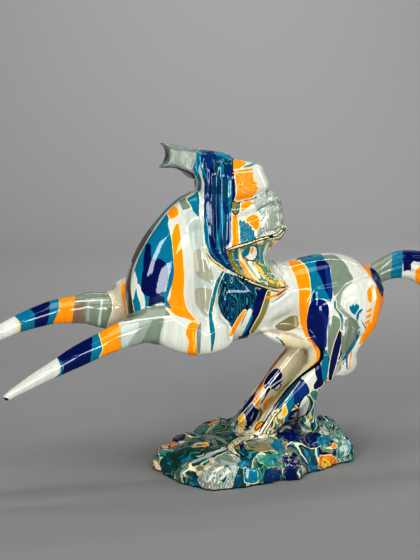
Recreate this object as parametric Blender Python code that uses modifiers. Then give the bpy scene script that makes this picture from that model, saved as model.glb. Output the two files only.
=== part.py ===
"""Abstract galloping horse on a low rock mound, cast in one piece.

The horse looks along -X, its near (left) side faces -Y and +Z is up. The origin is the middle of the
rock's flat underside. Run with: blender --background --python part.py
"""
import math

import bmesh
import bpy
import numpy as np
from mathutils import Matrix, Vector

# Driving dimensions, in metres
FIGURE_HEIGHT = 0.350      # from the rock's crown, where the hooves stand, to the top of the muzzle
ROCK_LENGTH = 0.258        # along the horse
ROCK_DEPTH = 0.182         # across the horse
ROCK_HEIGHT = 0.044        # flat underside to the crown under the hooves

# The figure is drawn on a grid 350 squares tall, whose zero height is the rock's crown
UNIT = FIGURE_HEIGHT / 350

# How the block-out becomes one skin: points round each loft, then lengths in metres
RING_POINTS = 36
SKIN_VOXEL = 0.0032
SOFTEN_PASSES = 5
TRIANGLE_TARGET = 9000
FLAT_SNAP = 0.0012

PAINT_COLOUR = (0.10, 0.36, 0.46, 1.0)
PAINT_ROUGHNESS = 0.12

# Each limb is a row of stations along its spine, on the figure's grid:
# (x, y, height, half size across the spine in the side view, half thickness from side to side)
TORSO = [
    (-114, 0, 164, 46, 30),
    (-71, 0, 162, 52, 39),
    (-28, 0, 161, 49, 41),
    (7, 0, 164, 45, 40),
    (36, 0, 162, 43, 39),
    (62, 0, 162, 48, 41),
    (95, 0, 161, 52, 44),
    (124, 0, 159, 46, 42),
    (146, 0, 159, 31, 36),
    (160, 0, 159, 16, 20),
]
MUZZLE = [
    (-44, 0, 320, 18, 20),
    (-66, 0, 322, 20, 20),
    (-77, 0, 325, 18, 18),
    (-86, 0, 329, 15, 15),
    (-95, 0, 333, 13, 13),
    (-105, 0, 335, 13, 14),
    (-116, 0, 336, 15, 15),
    (-123, 0, 337, 17, 17),
]
NEAR_FORELEG = [
    (-43, -33, 133, 13, 11),
    (-51, -34, 132, 21, 16),
    (-66, -35, 132, 26, 19),
    (-82, -35, 130, 26, 19),
    (-98, -35, 132, 25, 18),
    (-117, -34, 141, 26, 17),
    (-134, -34, 142, 21, 16),
    (-149, -35, 139, 17, 14),
    (-173, -35, 132, 15, 12),
    (-199, -35, 122, 13, 11),
    (-228, -35, 109, 12, 9),
    (-246, -35, 100, 10, 8),
    (-274, -35, 86, 8, 6),
    (-294, -35, 75, 6, 5),
    (-310, -35, 66, 4, 4),
]
FAR_FORELEG = [
    (-126, 35, 148, 42, 20),
    (-148, 35, 154, 35, 20),
    (-163, 35, 149, 26, 19),
    (-181, 35, 149, 22, 17),
    (-201, 35, 152, 19, 15),
    (-220, 35, 151, 16, 13),
    (-241, 35, 150, 14, 12),
    (-265, 35, 144, 12, 11),
    (-289, 35, 136, 10, 9),
    (-307, 35, 128, 9, 8),
    (-324, 35, 121, 7, 6),
    (-342, 35, 113, 4, 4),
]
THIGH = [
    (92, -28, 180, 46, 18),
    (95, -31, 160, 53, 22),
    (95, -33, 138, 49, 22),
    (91, -34, 122, 40, 22),
    (88, -34, 108, 33, 20),
    (85, -34, 92, 30, 17),
    (87, -34, 78, 31, 14),
    (86, -34, 68, 18, 10),
]
NEAR_CANNON = [
    (91, -34, 89, 18, 14),
    (70, -34, 76, 17, 13),
    (49, -34, 54, 16, 11),
    (23, -34, 30, 14, 10),
    (-1, -34, 6, 12, 9),
    (-18, -34, -11, 12, 9),
]
FAR_CANNON = [
    (90, 34, 96, 20, 16),
    (66, 34, 74, 20, 15),
    (45, 34, 50, 19, 14),
    (19, 34, 20, 18, 13),
    (-3, 34, -7, 16, 12),
    (-18, 34, -27, 16, 12),
]
FLANK_FOLD = [
    (-2, -33, 125, 2, 3),
    (13, -33, 121, 8, 7),
    (32, -33, 117, 12, 10),
    (51, -32, 114, 13, 12),
    (70, -30, 111, 12, 13),
]
TAIL = [
    (135, 0, 171, 11, 9),
    (149, 0, 182, 13, 10),
    (164, 0, 189, 14, 11),
    (184, 0, 195, 17, 12),
    (200, 0, 195, 18, 12),
    (214, 0, 191, 20, 13),
    (232, 0, 181, 20, 13),
    (250, 0, 164, 17, 12),
    (262, 0, 142, 11, 9),
    (268, 0, 122, 4, 4),
]
# The column of rock that rises to the hocks and steadies them
SPUR = [
    (71, 6, -8, 13, 18),
    (68, 5, 12, 12, 15),
    (67, 0, 30, 11, 12),
    (68, -12, 48, 10, 10),
    (70, -22, 60, 8, 9),
]
# The neck and the mane are stacks of slices: (front x, its height, back x, its height, half thickness)
NECK = [
    (-118, 112, -60, 104, 24),
    (-152, 122, -50, 112, 32),
    (-164, 150, -40, 137, 37),
    (-165, 178, -35, 166, 38),
    (-158, 206, -30, 195, 37),
    (-144, 235, -30, 222, 34),
    (-127, 257, -30, 245, 31),
    (-110, 275, -32, 262, 28),
    (-96, 286, -34, 275, 26),
    (-82, 293, -34, 289, 24),
    (-76, 301, -32, 303, 22),
    (-77, 314, -30, 318, 22),
    (-82, 326, -32, 330, 21),
    (-80, 338, -38, 338, 17),
]
MANE = [
    (-70, 342, -52, 340, 8),
    (-80, 338, -38, 333, 16),
    (-80, 331, -3, 325, 23),
    (-79, 320, 5, 315, 27),
    (-77, 303, 12, 300, 29),
    (-76, 290, 17, 291, 29),
    (-75, 277, 25, 283, 30),
    (-74, 260, 29, 268, 32),
    (-73, 244, 28, 252, 33),
    (-72, 232, 30, 243, 34),
    (-68, 222, 27, 236, 30),
    (-64, 214, 14, 224, 29),
    (-58, 208, 9, 216, 31),
    (-50, 202, 13, 205, 36),
    (-42, 197, 20, 195, 40),
    (-36, 193, 26, 184, 43),
    (-30, 186, 22, 176, 40),
    (-24, 178, 10, 168, 30),
]

# Sharp and soft lines cut into both sides of the figure after the limbs are fused:
# (height of the ridge, or depth of the groove if negative, its half width, points as x and height)
CREASES = {
    "mane lip": (4, 5, [(-49, 226), (-25, 232), (-9, 236), (22, 247), (33, 252)]),
    "mane hem": (3, 4, [(-52, 222), (-42, 204), (-29, 194), (-8, 186), (6, 183), (24, 182)]),
    "mane trough": (-5, 9, [(-36, 214), (-18, 209), (2, 204), (14, 198)]),
    "upper mane fold": (-5, 4, [(-37, 283), (-12, 286), (2, 291), (10, 294)]),
    "middle mane fold": (-3, 4, [(-37, 262), (-20, 266), (-4, 271)]),
    "curtain edge": (
        -3, 3, [(-82, 343), (-78, 303), (-75, 268), (-73, 231), (-66, 217), (-53, 205), (-35, 196)]
    ),
    "curtain flute": (-2.5, 3, [(-60, 335), (-60, 270), (-57, 228)]),
    "thigh fold": (-4, 4, [(107, 182), (93, 174), (86, 163), (87, 152), (98, 139), (110, 127), (115, 115)]),
    "thigh ridge": (3, 4, [(84, 156), (94, 145), (97, 134), (92, 112), (86, 88), (79, 67)]),
    "ham groove": (-3, 4, [(115, 115), (109, 103), (98, 89), (88, 73)]),
    "flank hollow": (-6, 9, [(16, 134), (32, 143)]),
    "neck flute": (-5, 8, [(-82, 249), (-77, 204), (-74, 168), (-75, 142)]),
    "shoulder edge": (-5, 4, [(-55, 188), (-59, 174), (-59, 162), (-54, 150), (-45, 140), (-45, 125)]),
}
# Above this height the creases run right round the back edge of the mane
MANE_WRAPS_ABOVE = 225
# No crease reaches nearer the middle plane than this
MIDLINE_BAND = 8
# Lengthwise grooves that part the tail into locks, as shares of its half size from the spine
TAIL_GROOVES = (-0.45, 0.1, 0.6)
TAIL_GROOVE_DEPTH = 1.8
TAIL_GROOVE_HALF_WIDTH = 2.5

# The rock's outline on the ground, as shares of half its length and half its depth, seen from above
ROCK_OUTLINE = [
    (-1.00, 0.15), (-0.99, -0.10), (-0.94, -0.32), (-0.83, -0.65), (-0.74, -0.88), (-0.57, -0.98),
    (-0.33, -1.02), (-0.05, -0.93), (0.34, -0.73), (0.68, -0.51), (0.85, -0.27), (0.93, -0.04),
    (0.96, 0.32), (0.84, 0.64), (0.58, 0.86), (0.22, 0.99), (-0.16, 1.00), (-0.54, 0.88), (-0.83, 0.62),
]
# How high the rock stands along its length, as a share of its full height: it rises towards the tail
ROCK_CREST_AT = (-1.0, -0.85, -0.55, -0.2, 0.1, 0.6, 0.85, 1.0)
ROCK_CREST = (0.34, 0.63, 0.71, 0.92, 1.0, 1.0, 1.20, 1.18)
# Boulders stand in a spiral out to this share of the way to the rim, each at most this share of the length
BOULDERS = 26
BOULDER_REACH = 0.86
BOULDER_SIZE = 0.12


def figure_point(x, y, height):
    """A place on the figure's grid, in metres from the middle of the rock's underside."""
    return np.array([x * UNIT, y * UNIT, ROCK_HEIGHT + height * UNIT])


def smooth_rows(rows, steps=5):
    """Fills in rows of numbers with a smooth curve through them, spaced by distance along the spine."""
    rows = np.array(rows, float)
    along = np.concatenate([[0.0], np.cumsum(np.linalg.norm(np.diff(rows[:, :3], axis=0), axis=1))])
    slopes = np.gradient(rows, along, axis=0)
    filled = []
    for start in range(len(rows) - 1):
        gap = along[start + 1] - along[start]
        for t in np.arange(steps) / steps:
            filled.append(
                (2 * t**3 - 3 * t**2 + 1) * rows[start]
                + (t**3 - 2 * t**2 + t) * gap * slopes[start]
                + (3 * t**2 - 2 * t**3) * rows[start + 1]
                + (t**3 - t**2) * gap * slopes[start + 1]
            )
    filled.append(rows[-1])
    return np.array(filled)


def section(centre, up, across, half_up, half_across, squareness, facets):
    """A ring round centre: squareness 2 is an ellipse and more is boxier. Each facet planes one side
    off it: (the way the facet looks, how far out it lies as a share of the ellipse)."""
    turn = np.arange(RING_POINTS) * 2 * math.pi / RING_POINTS
    u = np.copysign(np.abs(np.sin(turn)) ** (2 / squareness), np.sin(turn)) * half_up
    a = np.copysign(np.abs(np.cos(turn)) ** (2 / squareness), np.cos(turn)) * half_across
    ring = u[:, None] * up + a[:, None] * across
    for looks, share in facets:
        ahead = np.array([np.dot(looks, up), np.dot(looks, across)])
        ahead /= np.linalg.norm(ahead)
        reach = share * math.hypot(half_up * ahead[0], half_across * ahead[1])
        normal = ahead[0] * up + ahead[1] * across
        ring -= np.maximum(0, ring @ normal - reach)[:, None] * normal
    return centre + ring


def skin(name, rings):
    """A closed mesh object through rings of equally many points, capped flat at both ends."""
    bm = bmesh.new()
    made = [[bm.verts.new(point) for point in ring] for ring in rings]
    for low, high in zip(made, made[1:]):
        for i in range(len(low)):
            j = (i + 1) % len(low)
            bm.faces.new((low[i], low[j], high[j], high[i]))
    bm.faces.new(made[0])
    bm.faces.new(made[-1])
    bmesh.ops.triangulate(bm, faces=[f for f in bm.faces if len(f.verts) > 4])
    bmesh.ops.recalc_face_normals(bm, faces=bm.faces)
    mesh = bpy.data.meshes.new(name)
    bm.to_mesh(mesh)
    bm.free()
    return bpy.data.objects.new(name, mesh)


def limb(name, stations, squareness, facets=()):
    """A loft along a spine of stations."""
    rows = smooth_rows(stations)
    spine = np.array([figure_point(*row[:3]) for row in rows])
    rings = []
    for centre, tangent, row in zip(spine, np.gradient(spine, axis=0), rows):
        tangent = tangent / np.linalg.norm(tangent)
        across = np.array([0.0, 1.0, 0.0]) - tangent[1] * tangent
        across /= np.linalg.norm(across)
        up = np.cross(tangent, across)
        rings.append(section(centre, up, across, row[3] * UNIT, row[4] * UNIT, squareness, facets))
    return skin(name, rings)


def stack(name, slices, squareness, facets=()):
    """A loft through slices that run from front to back."""
    rows = smooth_rows([(fx, 0, fh, bx, bh, half) for fx, fh, bx, bh, half in slices])
    across = np.array([0.0, 1.0, 0.0])
    rings = []
    for front_x, _, front_h, back_x, back_h, half in rows:
        front, back = figure_point(front_x, 0, front_h), figure_point(back_x, 0, back_h)
        length = np.linalg.norm(back - front)
        ahead = (front - back) / length
        rings.append(section((front + back) / 2, ahead, across, length / 2, half * UNIT, squareness, facets))
    return skin(name, rings)


def muzzle():
    """The head ends in a short muzzle that is cut off by a round scoop across it."""
    scoop_x, scoop_height, scoop_radius = -128, 337, 17
    block = limb("muzzle block", MUZZLE, 4)
    place = Matrix.Translation(figure_point(scoop_x, 0, scoop_height)) @ Matrix.Rotation(math.pi / 2, 4, "X")
    bm = bmesh.new()
    bmesh.ops.create_cone(
        bm, cap_ends=True, segments=48, radius1=scoop_radius * UNIT, radius2=scoop_radius * UNIT,
        depth=60 * UNIT, matrix=place,
    )
    mesh = bpy.data.meshes.new("muzzle scoop")
    bm.to_mesh(mesh)
    bm.free()
    cutter = bpy.data.objects.new("muzzle scoop", mesh)
    cutter.hide_render = True
    cutter.display_type = "WIRE"
    cutters.objects.link(cutter)
    cut = block.modifiers.new("Scoop", "BOOLEAN")
    cut.operation = "DIFFERENCE"
    cut.object = cutter
    return block


def rock_outline():
    """The rock's edge on the ground, smoothed and slightly ragged, in metres."""
    closed = ROCK_OUTLINE[-1:] + ROCK_OUTLINE + ROCK_OUTLINE[:2]
    rows = smooth_rows([(x, y, 0) for x, y in closed], steps=4)[4:-5]
    ragged = 1 + 0.015 * np.sin(np.arange(len(rows)) * 1.9) + 0.01 * np.sin(np.arange(len(rows)) * 0.83)
    return rows[:, :2] * ragged[:, None] * (ROCK_LENGTH / 2, ROCK_DEPTH / 2)


def rock_top(x, share):
    """The mound's height at x, where share is 0 at its middle and 1 at its edge."""
    crest = np.interp(x / (ROCK_LENGTH / 2), ROCK_CREST_AT, ROCK_CREST)
    return ROCK_HEIGHT * crest * (1 - share**4) ** 0.6


def rock_blocks():
    """The rock: a lopsided mound, and boulders that break up its top and its rim."""
    rng = np.random.default_rng(11)
    outline = rock_outline()
    rings = []
    for share in (1.0, 0.995, 0.98, 0.95, 0.9, 0.82, 0.7, 0.55, 0.35, 0.12):
        rings.append([(x * share, y * share, rock_top(x * share, share)) for x, y in outline])
    blocks = [skin("rock mound", rings)]
    for k in range(BOULDERS):
        share = math.sqrt((k + 0.5) / BOULDERS) * BOULDER_REACH
        edge_x, edge_y = outline[int(k * 0.381966 * len(outline)) % len(outline)]
        x, y = edge_x * share, edge_y * share
        top = rock_top(x, share)
        room = (1.06 - share) * math.hypot(edge_x, edge_y)
        wide = min(BOULDER_SIZE * ROCK_LENGTH, room) * rng.uniform(0.85, 1.15)
        bm = bmesh.new()
        bmesh.ops.create_icosphere(bm, subdivisions=2, radius=1.0)
        for vert in bm.verts:
            vert.co *= 1 + rng.uniform(-0.12, 0.12)
        bmesh.ops.scale(bm, vec=Vector((wide * 1.15, wide * 0.9, top * 0.75)), verts=bm.verts)
        bmesh.ops.rotate(bm, matrix=Matrix.Rotation(rng.uniform(0, math.pi), 3, "Z"), verts=bm.verts)
        bmesh.ops.translate(bm, vec=(x, y, top * 0.36), verts=bm.verts)
        for vert in bm.verts:
            vert.co.z = max(vert.co.z, 0.0)
        mesh = bpy.data.meshes.new("boulder")
        bm.to_mesh(mesh)
        bm.free()
        blocks.append(bpy.data.objects.new("boulder", mesh))
    return blocks


def block_out():
    """All the overlapping closed blocks of the figure and its rock."""
    forward, up_and_near, ahead_and_near = (-1, 0, 0), (0, -0.6, 0.8), (-0.64, -0.41, 0.64)
    blocks = [
        limb("torso block", TORSO, 2.3),
        stack("neck block", NECK, 2.4, [(forward, 0.94)]),
        stack("mane block", MANE, 3.6),
        muzzle(),
        limb("near foreleg block", NEAR_FORELEG, 3.6, [(up_and_near, 0.82)]),
        limb("far foreleg block", FAR_FORELEG, 3.6, [(up_and_near, 0.86)]),
        limb("near cannon block", NEAR_CANNON, 3.6, [(ahead_and_near, 0.85)]),
        limb("far cannon block", FAR_CANNON, 3.6),
        limb("tail block", TAIL, 2.6),
        limb("rock spur", SPUR, 2.4),
    ]
    for side, name in ((1, "near"), (-1, "far")):
        ahead_and_out = (-0.75, -0.65 * side, 0)
        thigh = [(x, side * y, h, u, a) for x, y, h, u, a in THIGH]
        blocks.append(limb(f"{name} thigh block", thigh, 2.4, [(ahead_and_out, 0.92)]))
        fold = [(x, side * y, h, u, a) for x, y, h, u, a in FLANK_FOLD]
        blocks.append(limb(f"{name} fold block", fold, 2.2))
    return blocks + rock_blocks()


def evaluated_mesh(obj):
    """The object's mesh with its modifiers applied."""
    bpy.context.view_layer.update()
    graph = bpy.context.evaluated_depsgraph_get()
    return bpy.data.meshes.new_from_object(obj.evaluated_get(graph))


def fuse(blocks):
    """Joins the blocks under one closed skin and softens it, as a modeller would in clay."""
    bm = bmesh.new()
    for block in blocks:
        work.objects.link(block)
        mesh = evaluated_mesh(block)
        bm.from_mesh(mesh)
        bpy.data.meshes.remove(mesh)
        bpy.data.objects.remove(block)
    mesh = bpy.data.meshes.new("clay")
    bm.to_mesh(mesh)
    bm.free()
    clay = bpy.data.objects.new("clay", mesh)
    work.objects.link(clay)
    remesh = clay.modifiers.new("Skin", "REMESH")
    remesh.mode = "VOXEL"
    remesh.voxel_size = SKIN_VOXEL
    soften = clay.modifiers.new("Soften", "SMOOTH")
    soften.factor = 0.5
    soften.iterations = SOFTEN_PASSES
    return clay


def drop_crumbs(mesh):
    """Removes the loose crumbs that the muzzle's scoop leaves, and keeps the one great skin."""
    bm = bmesh.new()
    bm.from_mesh(mesh)
    loose, pieces = set(bm.verts), []
    while loose:
        ahead = [loose.pop()]
        piece = []
        while ahead:
            vert = ahead.pop()
            piece.append(vert)
            joined = {edge.other_vert(vert) for edge in vert.link_edges} & loose
            loose -= joined
            ahead.extend(joined)
        pieces.append(piece)
    pieces.sort(key=len)
    bmesh.ops.delete(bm, geom=[vert for piece in pieces[:-1] for vert in piece], context="VERTS")
    bm.to_mesh(mesh)
    bm.free()


def distance_to_line(points, line):
    """Distance of each point to a line of points, in the side view."""
    line = np.array(line, float)
    best = np.full(len(points), np.inf)
    for start, end in zip(line, line[1:]):
        run = end - start
        share = np.clip((points - start) @ run / (run @ run), 0, 1)
        best = np.minimum(best, np.linalg.norm(points - (start + share[:, None] * run), axis=1))
    return best


def carve(mesh):
    """Moves the skin in and out along the creases, on the surfaces that face sideways."""
    count = len(mesh.vertices)
    places, normals = np.empty(count * 3), np.empty(count * 3)
    mesh.vertices.foreach_get("co", places)
    mesh.vertices.foreach_get("normal", normals)
    places, normals = places.reshape(-1, 3), normals.reshape(-1, 3)
    side_view = np.column_stack([places[:, 0], places[:, 2] - ROCK_HEIGHT]) / UNIT
    sideways = np.clip(np.abs(normals[:, 1]) * 1.6, 0, 1) * (np.abs(places[:, 1]) > MIDLINE_BAND * UNIT)
    sideways = np.where(side_view[:, 1] > MANE_WRAPS_ABOVE, 1, sideways)
    push = np.zeros(count)
    for height, half_width, line in CREASES.values():
        away = distance_to_line(side_view, line) / half_width
        push += height * UNIT * np.exp(-away**2) * sideways
    spine = np.array(TAIL, float)[2:]
    on_tail = sideways * (side_view[:, 0] > spine[0, 0])
    for share in TAIL_GROOVES:
        line = np.column_stack([spine[:, 0], spine[:, 2] + share * spine[:, 3]])
        away = distance_to_line(side_view, line) / TAIL_GROOVE_HALF_WIDTH
        push -= TAIL_GROOVE_DEPTH * UNIT * np.exp(-away**2) * on_tail
    places += normals * push[:, None]
    mesh.vertices.foreach_set("co", places.ravel())
    mesh.update()


def settle_underside(mesh):
    """Makes the rock's underside truly flat at zero height."""
    for vert in mesh.vertices:
        if vert.co.z < FLAT_SNAP:
            vert.co.z = 0.0


def cast(clay):
    """The finished casting: carved, thinned to the triangles it needs, and standing flat."""
    carved = bpy.data.objects.new("carved", evaluated_mesh(clay))
    drop_crumbs(carved.data)
    carve(carved.data)
    work.objects.link(carved)
    thin = carved.modifiers.new("Thin", "DECIMATE")
    triangles = sum(len(face.vertices) - 2 for face in carved.data.polygons)
    thin.ratio = TRIANGLE_TARGET / triangles
    mesh = evaluated_mesh(carved)
    settle_underside(mesh)
    mesh.materials.append(paint())
    mesh.shade_smooth()
    mesh.set_sharp_from_angle(angle=math.radians(40))
    for obj in (clay, carved):
        bpy.data.objects.remove(obj)
    return bpy.data.objects.new("horse_on_rock", mesh)


def paint():
    """Glossy marbled lacquer, here in its middle tone."""
    material = bpy.data.materials.new("glossy_paint")
    material.use_nodes = True
    shader = material.node_tree.nodes["Principled BSDF"]
    shader.inputs["Base Color"].default_value = PAINT_COLOUR
    shader.inputs["Roughness"].default_value = PAINT_ROUGHNESS
    shader.inputs["Metallic"].default_value = 0.0
    material.diffuse_color = PAINT_COLOUR
    return material


for old in list(bpy.data.objects):
    bpy.data.objects.remove(old)
horse_parts = bpy.data.collections.new("horse sculpture")
cutters = bpy.data.collections.new("cutters")
work = bpy.data.collections.new("block-out")
for collection in (horse_parts, cutters, work):
    bpy.context.scene.collection.children.link(collection)
horse_parts.objects.link(cast(fuse(block_out())))
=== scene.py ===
import math

import bmesh
import bpy
import numpy as np
from mathutils import Matrix, Vector, noise


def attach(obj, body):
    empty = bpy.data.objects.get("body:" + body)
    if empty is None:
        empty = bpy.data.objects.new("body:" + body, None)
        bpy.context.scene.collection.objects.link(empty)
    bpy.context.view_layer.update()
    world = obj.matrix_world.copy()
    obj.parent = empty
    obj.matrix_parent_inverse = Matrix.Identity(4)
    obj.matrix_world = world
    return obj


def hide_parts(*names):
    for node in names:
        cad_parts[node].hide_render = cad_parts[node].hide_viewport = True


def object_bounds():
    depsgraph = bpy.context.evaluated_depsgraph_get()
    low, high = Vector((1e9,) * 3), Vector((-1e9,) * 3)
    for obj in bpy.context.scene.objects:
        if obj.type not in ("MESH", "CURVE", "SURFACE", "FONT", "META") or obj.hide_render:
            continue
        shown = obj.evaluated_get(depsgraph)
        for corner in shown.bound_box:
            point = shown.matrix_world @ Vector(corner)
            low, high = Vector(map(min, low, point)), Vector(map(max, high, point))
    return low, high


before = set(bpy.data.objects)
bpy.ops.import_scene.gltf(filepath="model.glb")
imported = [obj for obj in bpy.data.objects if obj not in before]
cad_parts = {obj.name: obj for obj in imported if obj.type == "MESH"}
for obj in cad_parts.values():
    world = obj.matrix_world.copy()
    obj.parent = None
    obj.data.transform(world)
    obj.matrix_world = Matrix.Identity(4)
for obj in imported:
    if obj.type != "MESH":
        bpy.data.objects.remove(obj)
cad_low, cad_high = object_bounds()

# The horse and the rock under it: one solid resin casting, about 3 kg. The maker blocks the horse out in
# clay, pulls the muzzle, mane and tail to edges, and casts it with the rock its hind hooves stand on.
FIGURE_HEIGHT = 0.350      # rock's crown to the top of the muzzle
ROCK_LENGTH = 0.258
ROCK_DEPTH = 0.182
ROCK_HEIGHT = 0.044
UNIT = FIGURE_HEIGHT / 350     # the figure is drawn on a grid 350 squares tall
SKIN_VOXEL = 0.0021
SOFTEN_LENGTH = 0.0046     # ridges are rounded over about this width
RING_POINTS = 48

# Stations along each limb's spine, on the grid: (x, y, height, half size in the side view, half thickness)
TORSO = [
    (-114, 0, 164, 46, 30),
    (-71, 0, 162, 52, 39),
    (-28, 0, 161, 49, 41),
    (7, 0, 164, 45, 40),
    (36, 0, 162, 43, 39),
    (62, 0, 162, 48, 41),
    (95, 0, 161, 52, 44),
    (124, 0, 159, 46, 42),
    (146, 0, 159, 31, 36),
    (160, 0, 159, 16, 20),
]
MUZZLE = [
    (-44, 0, 320, 18, 20),
    (-66, 0, 322, 20, 20),
    (-77, 0, 325, 18, 18),
    (-86, 0, 329, 15, 15),
    (-95, 0, 333, 13, 13),
    (-105, 0, 335, 13, 14),
    (-116, 0, 336, 15, 15),
    (-123, 0, 337, 17, 17),
]
NEAR_FORELEG = [
    (-43, -33, 133, 13, 11),
    (-51, -34, 132, 21, 16),
    (-66, -35, 132, 26, 19),
    (-82, -35, 130, 26, 19),
    (-98, -35, 132, 25, 18),
    (-117, -34, 141, 26, 17),
    (-134, -34, 142, 21, 16),
    (-149, -35, 139, 17, 14),
    (-173, -35, 132, 15, 12),
    (-199, -35, 122, 13, 11),
    (-228, -35, 109, 12, 9),
    (-246, -35, 100, 10, 8),
    (-274, -35, 86, 8, 6),
    (-294, -35, 75, 6, 5),
    (-310, -35, 66, 4, 4),
]
FAR_FORELEG = [
    (-126, 35, 148, 42, 20),
    (-148, 35, 154, 35, 20),
    (-163, 35, 149, 26, 19),
    (-181, 35, 149, 22, 17),
    (-201, 35, 152, 19, 15),
    (-220, 35, 151, 16, 13),
    (-241, 35, 150, 14, 12),
    (-265, 35, 144, 12, 11),
    (-289, 35, 136, 10, 9),
    (-307, 35, 128, 9, 8),
    (-324, 35, 121, 7, 6),
    (-342, 35, 113, 4, 4),
]
THIGH = [
    (92, -28, 180, 46, 18),
    (95, -31, 160, 53, 22),
    (95, -33, 138, 49, 22),
    (91, -34, 122, 40, 22),
    (88, -34, 108, 33, 20),
    (85, -34, 92, 30, 17),
    (87, -34, 78, 31, 14),
    (86, -34, 68, 18, 10),
]
NEAR_CANNON = [
    (91, -34, 89, 18, 14),
    (70, -34, 76, 17, 13),
    (49, -34, 54, 16, 11),
    (23, -34, 30, 14, 10),
    (-1, -34, 6, 12, 9),
    (-18, -34, -11, 12, 9),
]
FAR_CANNON = [
    (90, 34, 96, 20, 16),
    (66, 34, 74, 20, 15),
    (45, 34, 50, 19, 14),
    (19, 34, 20, 18, 13),
    (-3, 34, -7, 16, 12),
    (-18, 34, -27, 16, 12),
]
FLANK_FOLD = [
    (-2, -33, 125, 2, 3),
    (13, -33, 121, 8, 7),
    (32, -33, 117, 12, 10),
    (51, -32, 114, 13, 12),
    (70, -30, 111, 12, 13),
]
TAIL = [
    (135, 0, 171, 11, 9),
    (149, 0, 182, 13, 10),
    (164, 0, 189, 14, 11),
    (184, 0, 195, 17, 12),
    (200, 0, 195, 18, 12),
    (214, 0, 191, 20, 13),
    (232, 0, 181, 20, 13),
    (250, 0, 164, 17, 12),
    (262, 0, 142, 11, 9),
    (268, 0, 122, 4, 4),
]
# The column of rock that rises to the hocks and steadies them
SPUR = [
    (71, 6, -8, 13, 18),
    (68, 5, 12, 12, 15),
    (67, 0, 30, 11, 12),
    (68, -12, 48, 10, 10),
    (70, -22, 60, 8, 9),
]
# Slices of the neck and mane: (front x, its height, back x, its height, half thickness)
NECK = [
    (-118, 112, -60, 104, 24),
    (-152, 122, -50, 112, 32),
    (-164, 150, -40, 137, 37),
    (-165, 178, -35, 166, 38),
    (-158, 206, -30, 195, 37),
    (-144, 235, -30, 222, 34),
    (-127, 257, -30, 245, 31),
    (-110, 275, -32, 262, 28),
    (-96, 286, -34, 275, 26),
    (-82, 293, -34, 289, 24),
    (-76, 301, -32, 303, 22),
    (-77, 314, -30, 318, 22),
    (-82, 326, -32, 330, 21),
    (-80, 338, -38, 338, 17),
]
MANE = [
    (-70, 342, -52, 340, 8),
    (-80, 338, -38, 333, 16),
    (-80, 331, -3, 325, 23),
    (-79, 320, 5, 315, 27),
    (-77, 303, 12, 300, 29),
    (-76, 290, 17, 291, 29),
    (-75, 277, 25, 283, 30),
    (-74, 260, 29, 268, 32),
    (-73, 244, 28, 252, 33),
    (-72, 232, 30, 243, 34),
    (-68, 222, 27, 236, 30),
    (-64, 214, 14, 224, 29),
    (-58, 208, 9, 216, 31),
    (-50, 202, 13, 205, 36),
    (-42, 197, 20, 195, 40),
    (-36, 193, 26, 184, 43),
    (-30, 186, 22, 176, 40),
    (-24, 178, 10, 168, 30),
]


def figure_point(x, y, height):
    """A place on the figure's grid, in metres from the middle of the rock's underside."""
    return np.array([x * UNIT, y * UNIT, ROCK_HEIGHT + height * UNIT])


def smooth_rows(rows, steps=5):
    """Fills in rows of numbers with a smooth curve through them, spaced by distance along the spine."""
    rows = np.array(rows, float)
    along = np.concatenate([[0.0], np.cumsum(np.linalg.norm(np.diff(rows[:, :3], axis=0), axis=1))])
    slopes = np.gradient(rows, along, axis=0)
    filled = []
    for start in range(len(rows) - 1):
        gap = along[start + 1] - along[start]
        for t in np.arange(steps) / steps:
            filled.append(
                (2 * t**3 - 3 * t**2 + 1) * rows[start]
                + (t**3 - 2 * t**2 + t) * gap * slopes[start]
                + (3 * t**2 - 2 * t**3) * rows[start + 1]
                + (t**3 - t**2) * gap * slopes[start + 1]
            )
    filled.append(rows[-1])
    return np.array(filled)


def section(centre, up, across, half_up, half_across, squareness, facets):
    """A ring round centre, boxier by squareness, with facets planed off: (way, share of its reach)."""
    turn = np.linspace(0, 2 * math.pi, RING_POINTS, endpoint=False)
    u = np.copysign(np.abs(np.sin(turn)) ** (2 / squareness), np.sin(turn)) * half_up
    a = np.copysign(np.abs(np.cos(turn)) ** (2 / squareness), np.cos(turn)) * half_across
    ring = u[:, None] * up + a[:, None] * across
    for looks, share in facets:
        ahead = np.array([np.dot(looks, up), np.dot(looks, across)])
        ahead /= np.linalg.norm(ahead)
        reach = share * math.hypot(half_up * ahead[0], half_across * ahead[1])
        normal = ahead[0] * up + ahead[1] * across
        ring -= np.maximum(0, ring @ normal - reach)[:, None] * normal
    return centre + ring


def skin(name, rings):
    """A closed mesh through rings of equally many points, capped at both ends."""
    bm = bmesh.new()
    made = [[bm.verts.new(point) for point in ring] for ring in rings]
    for low, high in zip(made, made[1:]):
        for i in range(len(low)):
            j = (i + 1) % len(low)
            bm.faces.new((low[i], low[j], high[j], high[i]))
    bm.faces.new(made[0])
    bm.faces.new(made[-1])
    bmesh.ops.triangulate(bm, faces=[face for face in bm.faces if len(face.verts) > 4])
    bmesh.ops.recalc_face_normals(bm, faces=bm.faces)
    mesh = bpy.data.meshes.new(name)
    bm.to_mesh(mesh)
    bm.free()
    return mesh


def limb(name, stations, squareness, facets=()):
    """A loft along a spine of stations."""
    rows = smooth_rows(stations)
    spine = np.array([figure_point(*row[:3]) for row in rows])
    rings = []
    for centre, tangent, row in zip(spine, np.gradient(spine, axis=0), rows):
        tangent = tangent / np.linalg.norm(tangent)
        across = np.array([0.0, 1.0, 0.0]) - tangent[1] * tangent
        across /= np.linalg.norm(across)
        up = np.cross(tangent, across)
        rings.append(section(centre, up, across, row[3] * UNIT, row[4] * UNIT, squareness, facets))
    return skin(name, rings)


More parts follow.
